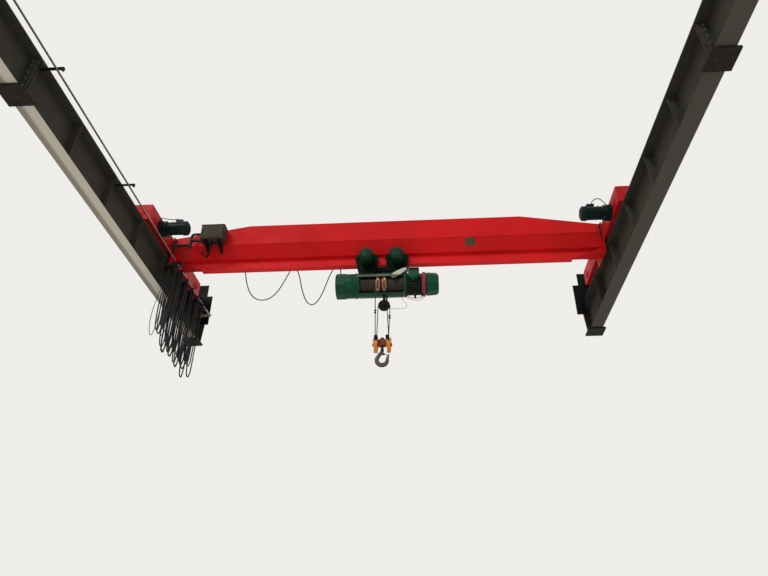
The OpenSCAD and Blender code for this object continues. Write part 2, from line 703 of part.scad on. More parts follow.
plate_low = girder_z - 186;
pin_z = girder_z - 90;
ear_r = twheel_d / 2 + twheel_lip;
module side_plate_outline() {
    axle = axle_pitch / 2;
    foot = axle + 34;
    polygon([
        [-foot + 16, plate_low], [foot - 16, plate_low], [foot, plate_low + 16],
        for (a = [-20:10:110]) [axle + ear_r * cos(a), twheel_z + ear_r * sin(a)],
        for (a = [70:10:200]) [-axle + ear_r * cos(a), twheel_z + ear_r * sin(a)],
        [-foot, plate_low + 16]]);
}
module trolley_side_plates() color([0.09, 0.14, 0.12]) at_crane() translate([trolley_x, 0, 0])
    for (u = unit_xs, m = [0, 1]) translate([u, 0, 0]) mirror([0, m, 0]) {
        difference() {
            translate([0, side_y + side_t, 0]) rotate([90, 0, 0])
                linear_extrude(side_t) side_plate_outline();
            translate([0, 0, pin_z]) rod_y(20.3, side_y - 1, side_y + side_t + 1);
            for (s = [-1, 1]) translate([s * axle_pitch / 2, 0, twheel_z])
                rod_y(tpin_r + run_gap, side_y - 1, side_y + side_t + 1);
            // Lightening hole between the axles
            translate([0, 0, twheel_z - 44]) rod_y(27, side_y - 1, side_y + side_t + 1);
        }
    }
module trolley_pins() color([0.15, 0.15, 0.15]) at_crane() translate([trolley_x, 0, twheel_z])
    for (x = axle_xs, m = [0, 1]) translate([x, 0, 0]) mirror([0, m, 0]) {
        rod_y(tpin_r, 14, side_y + side_t + 1);
        rod_y(tpin_r + 8, side_y + side_t + run_gap, side_y + side_t + 12);
    }
// Two tie pins under the rolled beam and the cross bars that carry the hoist
module trolley_frame() color([0.1, 0.17, 0.13]) at_crane() translate([trolley_x, 0, 0]) {
    for (u = unit_xs) translate([u, 0, pin_z]) rod_y(20, -side_y - side_t - 26, side_y + side_t + 26);
    difference() {
        block([-unit_pitch / 2 - 60, -62, pin_z - 46], [unit_pitch / 2 + 60, 62, pin_z + 34]);
        block([-unit_pitch / 2 + 80, -48, pin_z - 60], [unit_pitch / 2 - 80, 48, pin_z + 60]);
    }
    hang_low = hoist_z + shell_r - shell_t;
    for (u = unit_xs) difference() {
        block([u - 45, -40, hang_low], [u + 45, 40, pin_z - 45]);
        translate([0, 0, hoist_z]) rod_x(shell_r + 0.3, u - 60, u + 60);
    }
}
module trolley_motors() color([0.05, 0.27, 0.15]) at_crane() translate([trolley_x, 0, 0])
    for (u = unit_xs) translate([u, 0, twheel_z - 40]) {
        r = trolley_motor_d / 2;
        y0 = -side_y - side_t;
        rotate([90, 0, 0]) rotate_extrude() polygon([
            [0, -y0], [r - 30, -y0], [r - 22, -y0 + 40], [r - 6, -y0 + 55], [r - 6, -y0 + 150],
            [r, -y0 + 158], [r, -y0 + 200], [r - 12, -y0 + 224], [r - 40, -y0 + 240],
            [0, -y0 + 246]]);
    }

// Hoist
shell_x0 = -shell_l / 2 - 16;
shell_x1 = shell_l / 2 - 16;
past_shell = shell_r * 1.5;
// Half angle of the housing's top cover
cover_edge = 69;
module hoist_housing() color([0.05, 0.38, 0.22]) at_hoist() {
    window_x0 = shell_x0 + 60;
    window_x1 = shell_x1 - 40;
    difference() {
        rod_x(shell_r, shell_x0, shell_x1);
        rod_x(shell_r - shell_t, shell_x0 - 1, shell_x1 + 1);
        // Windows before and behind, between the top cover and the bottom bar
        for (m = [0, 1]) mirror([0, m, 0]) rotate([90, 0, 90])
            translate([0, 0, window_x0]) linear_extrude(window_x1 - window_x0) polygon([
                [0, 0], past_shell * [sin(22), -cos(22)], past_shell * [1, -1],
                past_shell * [1, 0.34], past_shell * [sin(cover_edge), cos(cover_edge)]]);
    }
    for (x = [shell_x0, shell_x1 - 14]) difference() {
        rod_x(shell_r + 8, x, x + 14);
        rod_x(drum_r + 4, x - 1, x + 15);
    }
    // Wedge socket of the rope's fixed end
    difference() {
        translate([anchor_x, 50, anchor_z]) cylinder(r = 15, h = 60);
        rod_x(shell_r - 2, anchor_x - 20, anchor_x + 20);
    }
}
module hoist_gearbox() color([0.03, 0.36, 0.2]) at_hoist() {
    x1 = shell_x0;
    x0 = x1 - gearbox_l;
    difference() {
        union() {
            translate([x0, 0, 0]) rotate([0, 90, 0]) rotate([0, 0, 22.5])
                cylinder(r = gearbox_r, h = gearbox_l * 0.45, $fn = 8);
            rod_x(gearbox_r - 34, x0 + 1, x1);
            rod_x(gearbox_r - 6, x1 - 22, x1);
            rod_x(gearbox_r - 6, x0 + gearbox_l * 0.45 - 2, x0 + gearbox_l * 0.45 + 24);
            for (a = [0:60:300]) rotate([a, 0, 0])
                block([x0 + gearbox_l * 0.4, -7, 0], [x1 - 5, 7, gearbox_r - 14]);
        }
        rod_x(drum_shaft_r + pin_gap, x1 - 40, x1 + 1);
    }
    translate([x0 - 12, 0, 0]) rod_x(110, 0, 20);
    translate([gland_x - hoist_x + mid_x, 150, 0]) cylinder(r = 16, h = gland_top - hoist_z);
}
gland_x = -748;
gland_top = girder_z - 215;
drum_shaft_r = 36;
module hoist_motor() color([0.06, 0.12, 0.1]) at_hoist() {
    x0 = shell_x1;
    x1 = x0 + motor_l;
    difference() {
        union() {
            rod_x(motor_r, x0, x1);
            rod_x(motor_r + 14, x0, x0 + 18);
        }
        rod_x(drum_shaft_r + pin_gap, x0 - 1, x0 + 30);
        for (a = [0:15:345]) rotate([a, 0, 0])
            block([x0 + 36, -7, motor_r - 16], [x1 - 26, 7, motor_r + 5]);
    }
}
module hoist_motor_cover() color([0.03, 0.36, 0.2]) at_hoist() {
    x0 = shell_x1 + motor_l;
    rotate([0, 90, 0]) rotate([0, 0, 22.5]) {
        translate([0, 0, x0]) cylinder(r1 = motor_r + 16, r2 = motor_r + 2, h = cover_l - 30, $fn = 8);
        translate([0, 0, x0 + cover_l - 30])
            cylinder(r1 = motor_r + 2, r2 = motor_r - 30, h = 30, $fn = 8);
    }
}
module hoist_terminal_box() color([0.04, 0.33, 0.19]) at_hoist() difference() {
    translate([shell_x1 + 121, 0, 0]) rotate([71, 0, 0]) translate([0, 0, motor_r - 30]) {
        cylinder(r = 74, h = 38);
        translate([0, 0, 36]) rotate_extrude() polygon([
            [0, 0], [92, 0], [92, 36], [86, 54], [66, 66], [0, 70]]);
    }
    rod_x(motor_r + 0.3, shell_x1 + 10, shell_x1 + 300);
}
guide_x = -12;
module rope_guide() color([0.62, 0.3, 0.2]) at_hoist() for (x = [guide_x - 60, guide_x + 60]) {
    turned_x([
        [drum_r + 3, x - 21], for (k = [-1:1]) each [
            [drum_r + 12, x + k * 14 - 7], [drum_r + 20, x + k * 14 - 5],
            [drum_r + 22, x + k * 14], [drum_r + 20, x + k * 14 + 5]],
        [drum_r + 12, x + 21], [drum_r + 3, x + 21]]);
    intersection() {
        block([x - 10, -15, -shell_r], [x + 10, 15, -drum_r - 12]);
        rod_x(shell_r - shell_t - 0.3, x - 20, x + 20);
    }
}
balance_x = 31;
balance_z = -378;
module balance_sheave() color([0.05, 0.05, 0.055]) at_hoist() translate([balance_x, 0, 0])
    difference() {
        union() {
            translate([0, 0, balance_z]) rod_y(balance_r, -24, 24);
            translate([0, 0, balance_z]) rod_y(24, -40, 40);
            for (s = [0, 1]) mirror([0, s, 0])
                block([-20, 28, balance_z - 20], [20, 40, -shell_r + 20]);
        }
        rod_x(shell_r + 0.3, -60, 60);
    }
strip_t = 8;
strip_w = 44;
strip_l = 540;
plate_l = 350;
module hoist_cover_strip() color([0.55, 0.6, 0.52]) at_hoist() {
    translate([shell_x1 - 100, 0, 0]) rotate([58, 0, 0]) {
        translate([0, 0, shell_r + 8.3 + strip_t / 2]) rotate([0, 0, 35])
            cube([plate_l, 80, strip_t], center = true);
        for (x = [-36, 36]) translate([x, 0, shell_r + run_gap]) cylinder(r = 9, h = 9);
    }
    rotate([cover_edge, 0, 0]) translate([shell_x0 + 16, -strip_w / 2, shell_r + run_gap])
        cube([strip_l, strip_w, strip_t]);
}

module rope_drum() color([0.1, 0.08, 0.08]) at_hoist() {
    x0 = shell_x0 + 18;
    x1 = shell_x1 - 18;
    n = 24;
    pitch = (x1 - x0) / n;
    turned_x([
        [0, x0 - 40], [drum_shaft_r, x0 - 40], [drum_shaft_r, x0], [drum_r, x0],
        for (k = [0:n - 1]) each [[drum_r, x0 + (k + 0.3) * pitch],
            [drum_r - 5, x0 + (k + 0.5) * pitch], [drum_r, x0 + (k + 0.7) * pitch]],
        [drum_r, x1], [drum_shaft_r, x1], [drum_shaft_r, x1 + 40], [0, x1 + 40]]);
}

// Falls of rope between the hoist and the block: the drum's, two over the balance sheave
// and the one from the anchor under the housing.
block_x = 6;
rope_r = rope_d / 2;
balance_half = balance_r + rope_r + 0.3;
groove_y = sheave_r - 12 + rope_r + 1.4;
anchor_x = 70;
anchor_z = -shell_r - 40;
fall_tops = [
    [-102, -drum_r - rope_r - 0.5, 0], [balance_x - balance_half, 0, balance_z],
    [balance_x + balance_half, 0, balance_z], [anchor_x, 50, anchor_z - 0.7]];
fall_feet = [for (s = [-1, 1], t = [-1, 1]) [block_x + s * sheave_pitch / 2, t * groove_y]];
module fall(a, b) {
    d = b - a;
    translate(a) rotate([0, acos(d[2] / norm(d)), atan2(d[1], d[0])])
        cylinder(r = rope_r, h = norm(d), $fn = 16);
}
module rope_falls() color([0.12, 0.1, 0.1]) at_hoist() for (i = [0:3])
    fall(fall_tops[i], [each fall_feet[i], -block_drop]);

// Hook block, seen from its own axle
module at_block() {
    at_hoist() translate([block_x, 0, -block_drop]) children();
}
module block_crosshead() color([0.45, 0.2, 0.1]) at_block() {
    half = sheave_pitch / 2 - cover_half - cover_t - 0.3;
    difference() {
        union() {
            block([-half, -44, -22], [half, 44, 74]);
            rod_x(22, -sheave_pitch / 2 - 44, sheave_pitch / 2 + 44);
        }
        translate([0, 0, -30]) cylinder(r = shank_d / 2 + pin_gap, h = 120);
    }
}
module block_sheaves() color([0.15, 0.14, 0.14]) at_block() for (s = [-1, 1])
    translate([s * sheave_pitch / 2, 0, 0]) turned_x([
        [22.3, -20], [sheave_r + 4, -20], [sheave_r + 4, -14], [sheave_r - 12, -6],
        [sheave_r - 12, 6], [sheave_r + 4, 14], [sheave_r + 4, 20], [22.3, 20]]);
// A round cover drawn out to a smaller round foot, in the Y-Z plane
module drop_outline(big, small, d) {
    lean = (big - small) / d;
    up = sqrt(1 - lean * lean);
    inset = 2;
    circle(r = big);
    translate([0, -d]) circle(r = small);
    polygon([
        [(big - inset) * up, -(big - inset) * lean], [-(big - inset) * up, -(big - inset) * lean],
        [-(small - inset) * up, -d - (small - inset) * lean],
        [(small - inset) * up, -d - (small - inset) * lean]]);
}
cover_t = 5;
cover_half = 33;
// Depth of the round nose's centre under the axle
nose_z = sheave_r + 10;
module block_covers() color([0.85, 0.45, 0.12]) at_block() for (s = [-1, 1])
    translate([s * sheave_pitch / 2, 0, 0]) difference() {
        translate([-cover_half - cover_t, 0, 0]) rotate([90, 0, 90])
            linear_extrude(2 * (cover_half + cover_t)) drop_outline(sheave_r + 14, 24, nose_z);
        translate([-cover_half, 0, 0]) rotate([90, 0, 90])
            linear_extrude(2 * cover_half) drop_outline(sheave_r + 9, 19, nose_z);
        block([-cover_half, -sheave_r - 20, 20], [cover_half, sheave_r + 20, sheave_r + 20]);
        rod_x(22.3, -50, 50);
    }
hook_z = -256;
// Half depth of the hook's section under its bowl
hook_t = 34;
hook_arc_r = bowl_r + hook_t;
function on_bowl(a, depth, width) = [
    (bowl_r + depth) * cos(a), hook_z + (bowl_r + depth) * sin(a), depth, width];
hook_stations = [
    [0, hook_z + 172, 19, 19], [0, hook_z + 152, 28, 27], [-4, hook_z + 132, 30, 28],
    [-19, hook_z + 111, 31, 28], [-41, hook_z + 90, 31, 27],
    on_bowl(137, 31, 27), on_bowl(155, 32, 27), on_bowl(173, 33, 27), on_bowl(191, 34, 27),
    on_bowl(209, 35, 28), on_bowl(227, 36, 28), on_bowl(245, 37, 28), on_bowl(263, 37, 28),
    on_bowl(281, 37, 28), on_bowl(299, 36, 27), on_bowl(317, 34, 26), on_bowl(335, 31, 24),
    on_bowl(352, 28, 22), [80, hook_z + 14, 25, 20], [84, hook_z + 38, 21, 18],
    [90, hook_z + 60, 17, 15], [98, hook_z + 80, 13, 12], [104, hook_z + 94, 8, 8]];
latch_l = 52;
latch_x = 30;
latch_z = hook_z + 98;
module hook() color([0.32, 0.32, 0.3]) at_block() {
    shank_low = hook_z + 146;
    translate([0, 0, 74.3]) cylinder(r = 38, h = 34, $fn = 6);
    translate([0, 0, shank_low]) cylinder(r = shank_d / 2, h = 84 - shank_low);
    forged(hook_stations, 20);
    // Ears of the latch
    for (m = [0, 1]) mirror([0, m, 0]) difference() {
        block([-26, 16, latch_z - 10], [latch_x + 10, 22, latch_z + 10]);
        translate([latch_x, 0, latch_z]) rod_y(4 + pin_gap, 10, 30);
    }
}
module hook_latch() color([0.5, 0.5, 0.48]) at_block() translate([latch_x, 0, latch_z]) {
    rotate([0, 15.6, 0]) block([0, -11, -2], [latch_l, 11, 2]);
    rod_y(8, -13, 13);
    rod_y(4, -24, 24);
}

bearing_plates();
runway_beam_left();
runway_beam_right();
crane_rails();
end_stops();
wire_hangers();
wire_arms();
messenger_wire();
girder_box();
girder_beam_foot();
girder_beam_web();
girder_beam_head();
girder_end_plates();
end_truck_left();
end_truck_right();
travel_gearboxes();
travel_motors();
control_box();
control_box_bracket();
girder_festoon_wire();
girder_festoon_cable();
girder_festoon_clips();
runway_festoon_clips();
runway_festoon_cable();
festoon_lead();
trolley_stops();
bridge_wheel_left_near();
bridge_wheel_left_far();
bridge_wheel_right_near();
bridge_wheel_right_far();
trolley_side_plates();
trolley_pins();
trolley_frame();
trolley_motors();
trolley_wheels_1();
trolley_wheels_2();
trolley_wheels_3();
trolley_wheels_4();
hoist_housing();
hoist_gearbox();
hoist_motor();
hoist_motor_cover();
hoist_terminal_box();
rope_guide();
balance_sheave();
hoist_cover_strip();
rope_drum();
rope_falls();
block_crosshead();
block_sheaves();
block_covers();
hook();
hook_latch();
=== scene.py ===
"""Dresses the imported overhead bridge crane: finishes, cables, ropes, bolts and small fittings."""
import math
from contextlib import contextmanager
from itertools import product

import bpy
from bpy.props import FloatProperty, FloatVectorProperty, IntProperty, PointerProperty
from mathutils import Matrix, Vector


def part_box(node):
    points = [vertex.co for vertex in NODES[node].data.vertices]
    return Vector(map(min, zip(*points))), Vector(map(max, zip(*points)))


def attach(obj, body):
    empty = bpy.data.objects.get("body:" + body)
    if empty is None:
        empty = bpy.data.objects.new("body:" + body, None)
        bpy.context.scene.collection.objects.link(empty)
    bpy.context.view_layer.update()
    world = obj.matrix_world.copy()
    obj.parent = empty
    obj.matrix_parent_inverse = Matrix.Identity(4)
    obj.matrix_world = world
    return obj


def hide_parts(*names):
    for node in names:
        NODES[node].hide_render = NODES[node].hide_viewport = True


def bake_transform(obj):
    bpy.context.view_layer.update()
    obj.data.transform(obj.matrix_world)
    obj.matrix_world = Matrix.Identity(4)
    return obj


bl_info = {
    "name": "Overhead Bridge Crane",
    "version": (1, 0, 0),
    "blender": (4, 5, 0),
    "location": "3D View > Sidebar > Crane",
    "description": "Finishes and small fittings for a single-girder overhead bridge crane",
    "category": "Object",
}

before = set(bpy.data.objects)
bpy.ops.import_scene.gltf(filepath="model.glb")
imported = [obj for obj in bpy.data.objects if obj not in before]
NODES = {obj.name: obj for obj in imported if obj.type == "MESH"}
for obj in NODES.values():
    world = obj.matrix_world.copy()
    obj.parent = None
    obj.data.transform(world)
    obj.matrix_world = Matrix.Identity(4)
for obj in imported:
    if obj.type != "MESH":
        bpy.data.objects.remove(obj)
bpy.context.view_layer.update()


def low(node):
    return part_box(node)[0]


def high(node):
    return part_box(node)[1]


def middle(node):
    return (low(node) + high(node)) / 2


# Places that the pieces share, in metres. X runs across the bay, Y along the runway.
MID_X = (middle("end_truck_left").x + middle("end_truck_right").x) / 2
CRANE_Y = middle("end_truck_left").y
GIRDER_Z = low("girder_beam_foot").z
HOIST_X, HOIST_Z = middle("trolley_frame").x, middle("rope_drum").z
BLOCK_X, BLOCK_Z = middle("block_crosshead").x, middle("block_sheaves").z
BEAM_LOW, BEAM_TOP = low("runway_beam_left").z, low("crane_rails").z
SPAN = 2 * MID_X
RAILS_X = (0, SPAN)
END_X = high("girder_beam_head").x - MID_X
WHEEL_Z = middle("bridge_wheel_left_near").z
BUFFER_Z = WHEEL_Z + 0.04
DRUM_R = high("rope_drum").z - HOIST_Z
# The messenger wire's line, and the ends of the drum housing from the hoist's middle
WIRE_X, WIRE_Z = 0.355, 0.424
SHELL_LEFT, SHELL_RIGHT = -0.426, 0.394
# The two sheaves' middles from the hook block's, and the two sides of anything
SHEAVE_X = 0.102
BOTH = (-1, 1)


def girder(x, y, z):
    """A place measured from midspan, the girder's middle plane and its underside."""
    return Vector((MID_X + x, CRANE_Y + y, GIRDER_Z + z))


def hoist(x, y, z):
    """A place measured from the hoist's axis."""
    return Vector((HOIST_X + x, CRANE_Y + y, HOIST_Z + z))


def block(x, y, z):
    """A place measured from the hook block's axle."""
    return Vector((BLOCK_X + x, CRANE_Y + y, BLOCK_Z + z))


def wire(x, y, z):
    """A place measured from the messenger wire, level with the bridge's middle."""
    return Vector((WIRE_X + x, CRANE_Y + y, WIRE_Z + z))


def metres(points):
    return [tuple(value / 1000 for value in point) for point in points]


def on_circle(count, radius, start=0.0):
    """(cosine, sine) times the radius, evenly round a circle from a start in degrees."""
    angles = [math.radians(start + 360 / count * k) for k in range(count)]
    return [(radius * math.cos(a), radius * math.sin(a)) for a in angles]


# Settings that a user would change
def length_setting(name, text, value, **limits):
    return FloatProperty(name=name, description=text, unit="LENGTH", default=value, **limits)


def angle_setting(name, text, value):
    return FloatProperty(name=name, description=text, subtype="ANGLE", default=value)


def colour_setting(name, text, value):
    return FloatVectorProperty(name=name, description=text, size=3, subtype="COLOR",
                               default=value, min=0, max=1)


class CraneStageSettings(bpy.types.PropertyGroup):
    camera_place: FloatVectorProperty(
        name="Camera place", description="Where the camera stands", size=3,
        subtype="TRANSLATION", unit="LENGTH", default=(4.381, -10.565, -5.416))
    camera_heading: angle_setting(
        "Heading", "Turn of the view to the left of straight ahead", 0.0709)
    camera_pitch: angle_setting("Pitch", "Upward tilt of the view", 0.5502)
    camera_roll: angle_setting("Roll", "Turn of the view about its own line", 0.0066)
    lens: FloatProperty(
        name="Lens", description="Focal length on a 36 mm sensor", default=29.95, min=10, max=200)
    floor_z: length_setting("Floor level", "Height of the floor below the bearings", -7.03)
    floor_colour: colour_setting("Floor colour", "Colour of the floor", (0.80, 0.78, 0.74))


class CranePaintSettings(bpy.types.PropertyGroup):
    girder_red: colour_setting(
        "Girder red", "Paint of the girder and end trucks", (0.56, 0.0085, 0.0105))
    hoist_green: colour_setting("Hoist green", "Enamel of the hoist", (0.0062, 0.092, 0.043))
    runway_grey: colour_setting("Runway grey", "Paint of the runway beams", (0.036, 0.034, 0.027))
    block_orange: colour_setting(
        "Block orange", "Paint of the hook block's covers", (0.66, 0.235, 0.026))


class CraneCableSettings(bpy.types.PropertyGroup):
    girder_cable: length_setting(
        "Girder cable", "Diameter of the cable along the girder", 0.018, min=0.012, max=0.024)
    runway_cable: length_setting(
        "Runway cable", "Diameter of the cable along the runway", 0.022, min=0.014, max=0.028)
    cable_sides: IntProperty(
        name="Cable sides", description="Faces round a cable", default=12, min=6, max=24)


# Materials. What lies on the paint, steel and rubber has one colour each all over the crane.
PAINT_GRIME = (0.035, 0.030, 0.026)
PAINT_RUST = (0.13, 0.045, 0.018)
PAINT_DUST = (0.30, 0.28, 0.25)
STEEL_RUST = (0.11, 0.045, 0.02)
STEEL_GREASE = (0.015, 0.013, 0.012)
# Near black above a level, used on the hook
ABOVE_LEVEL_BLACK = (0.010, 0.009, 0.008)
RUBBER_BLOOM = (0.10, 0.095, 0.09)
RUBBER_DUST = (0.16, 0.15, 0.14)


def new_node(tree, kind, inputs=(), **settings):
    """A node with its settings made and its inputs set, or linked where a socket is given."""
    node = tree.nodes.new(kind)
    row, column = divmod(len(tree.nodes), 8)
    node.location = (220 * column, -280 * row)
    for key, value in settings.items():
        setattr(node, key, value)
    for key, value in dict(inputs).items():
        if isinstance(value, bpy.types.NodeSocket):
            tree.links.new(value, node.inputs[key])
        else:
            node.inputs[key].default_value = value
    return node


def opaque(colour):
    """A colour ready for a socket; a socket stays as it is."""
    return colour if isinstance(colour, bpy.types.NodeSocket) else (*colour[:3], 1)


def shade(colour, factor):
    return tuple(min(1.0, c * factor) for c in colour[:3])


class Surface:
    """A material in the making: its nodes, its shader and the piece's own coordinates."""

    def __init__(self, name):
        self.material = bpy.data.materials.new(name)
        self.material.use_nodes = True
        self.tree = self.material.node_tree
        self.tree.nodes.clear()
        self.place = self.node("ShaderNodeTexCoord").outputs["Object"]
        self.shader = self.node("ShaderNodeBsdfPrincipled")
        self.node("ShaderNodeOutputMaterial", {0: self.shader.outputs[0]})

    def node(self, kind, inputs=(), **settings):
        return new_node(self.tree, kind, inputs, **settings)

    def ramp(self, value, low_at, high_at):
        """0 up to one level of the value and 1 from another on."""
        return self.node("ShaderNodeMapRange", {
            "Value": value, "From Min": low_at, "From Max": high_at}).outputs[0]

    def spots(self, scale, low_at, high_at, detail, stretch=(1, 1, 1)):
        """A soft mask from 0 to 1: noise on the piece's own coordinates, cut between two levels."""
        mapping = self.node("ShaderNodeMapping", {"Vector": self.place, "Scale": stretch})
        noise = self.node("ShaderNodeTexNoise", {
            "Vector": mapping.outputs[0], "Scale": scale, "Detail": detail})
        return self.ramp(noise.outputs[0], low_at, high_at)

    def mixed(self, mask, first, second, amount=None):
        """first where the mask is 0 and second where it is 1; each is a colour or a socket."""
        if amount is not None:
            mask = self.node("ShaderNodeMath", {0: mask, 1: amount},
                             operation="MULTIPLY").outputs[0]
        return self.node("ShaderNodeMix", {0: mask, 6: opaque(first), 7: opaque(second)},
                         data_type="RGBA").outputs[2]

    def facing_up(self):
        normal = self.node("ShaderNodeNewGeometry").outputs["Normal"]
        return self.ramp(self.node("ShaderNodeSeparateXYZ", {0: normal}).outputs["Z"], 0.35, 0.9)

    def above(self, level, width, axis="Z"):
        """A mask that is 0 below a level and 1 above it."""
        parts = self.node("ShaderNodeSeparateXYZ", {0: self.place})
        return self.ramp(parts.outputs[axis], level - width, level + width)

    def finish(self, base, **values):
        """Sets the colour and the values that are the same all over."""
        self.tree.links.new(base, self.shader.inputs["Base Color"])
        for key, value in values.items():
            self.shader.inputs[key.replace("_", " ")].default_value = value
        return self.material

    def roughness(self, mask, smoothest, roughest):
        spread = self.node("ShaderNodeMapRange", {
            "Value": mask, "To Min": smoothest, "To Max": roughest})
        self.tree.links.new(spread.outputs[0], self.shader.inputs["Roughness"])

    def relief(self, scale, detail, strength, distance):
        """Fine unevenness, as a bump."""
        fine = self.node("ShaderNodeTexNoise", {
            "Vector": self.place, "Scale": scale, "Detail": detail})
        bump = self.node("ShaderNodeBump", {
            "Height": fine.outputs[0], "Strength": strength, "Distance": distance})
        self.tree.links.new(bump.outputs[0], self.shader.inputs["Normal"])


def painted_steel(name, colour, rough, grime=0.35, grime_scale=2.2, rust=0.0, dust=0.25,
                  streak=(1, 1, 0.25), shine=0.10, underside=None):
    """Workshop paint: slow changes of tone, dirty patches, dust on what looks up and, where set,
    rust and painted light on the bottom face below a level: a painted wall shadow on one side of
    an edge in X and painted floor light on the other."""
    # The last two values: the edge in X between the painted wall shadow and the painted floor
    # light, and half its width
    made, dirt_share, wall_shadow_edge, wall_shadow_blur = Surface(name), 0.65, -0.02, 0.022
    tone = made.spots(1.3, 0.3, 0.75, 3.0)
    base = made.mixed(tone, shade(colour, 0.86), shade(colour, 1.10))
    dirt = made.spots(grime_scale * 3, 0.48, 0.80, 8.0, streak)
    dirt_colour = [(1 - dirt_share) * c + dirt_share * d for c, d in zip(colour, PAINT_GRIME)]
    base = made.mixed(dirt, base, dirt_colour, grime)
    if rust:
        patches = made.spots(grime_scale * 9, 0.60, 0.68, 10.0)
        base = made.mixed(patches, base, PAINT_RUST, rust)
    base = made.mixed(made.facing_up(), base, PAINT_DUST, dust)
    # Painted light: the bottom face below the level is painted pale as if lit from the floor, with
    # a painted wall shadow on one side of the edge in X
    if underside:
        level, wall_shadow, floor_light = underside
        pale = made.mixed(made.above(wall_shadow_edge, wall_shadow_blur, "X"), wall_shadow, floor_light)
        base = made.mixed(made.above(level, 0.001), pale, base)
    gloss = made.spots(grime_scale * 5, 0.3, 0.8, 6.0)
    made.roughness(gloss, rough - 0.08, rough + 0.16)
    made.relief(90, 3, 0.12, 0.002)
    return made.finish(base, Specular_IOR_Level=shine)


def bare_metal(name, colour, rough, rust, grease, metallic, scale=6.0, dark_above=None):
    """Rolled, forged or drawn steel with brown rust and dark grease, black above a level."""
    made = Surface(name)
    tone = made.spots(scale, 0.3, 0.7, 6.0)
    base = made.mixed(tone, shade(colour, 0.75), shade(colour, 1.15))
    brown = made.spots(scale * 2.5, 0.50, 0.66, 9.0)
    base = made.mixed(brown, base, STEEL_RUST, rust)
    dark = made.spots(scale * 0.8, 0.52, 0.75, 5.0)
    base = made.mixed(dark, base, STEEL_GREASE, grease)
    if dark_above is not None:
        base = made.mixed(made.above(dark_above, 0.012), base, ABOVE_LEVEL_BLACK, 0.95)
    made.roughness(brown, rough - 0.08, rough + 0.25)
    made.relief(140, 2, 0.18, 0.001)
    return made.finish(base, Metallic=metallic)


def cable_sheath(name, colour, rough):
    """Black or red rubber sheath with a grey bloom of dust."""
    made = Surface(name)
    bloom = made.spots(7, 0.45, 0.75, 5.0, (1, 1, 0.3))
    base = made.mixed(bloom, colour, RUBBER_BLOOM, 0.35)
    base = made.mixed(made.facing_up(), base, RUBBER_DUST, 0.3)
    return made.finish(base, Roughness=rough, Specular_IOR_Level=0.25)


MATERIALS = {}


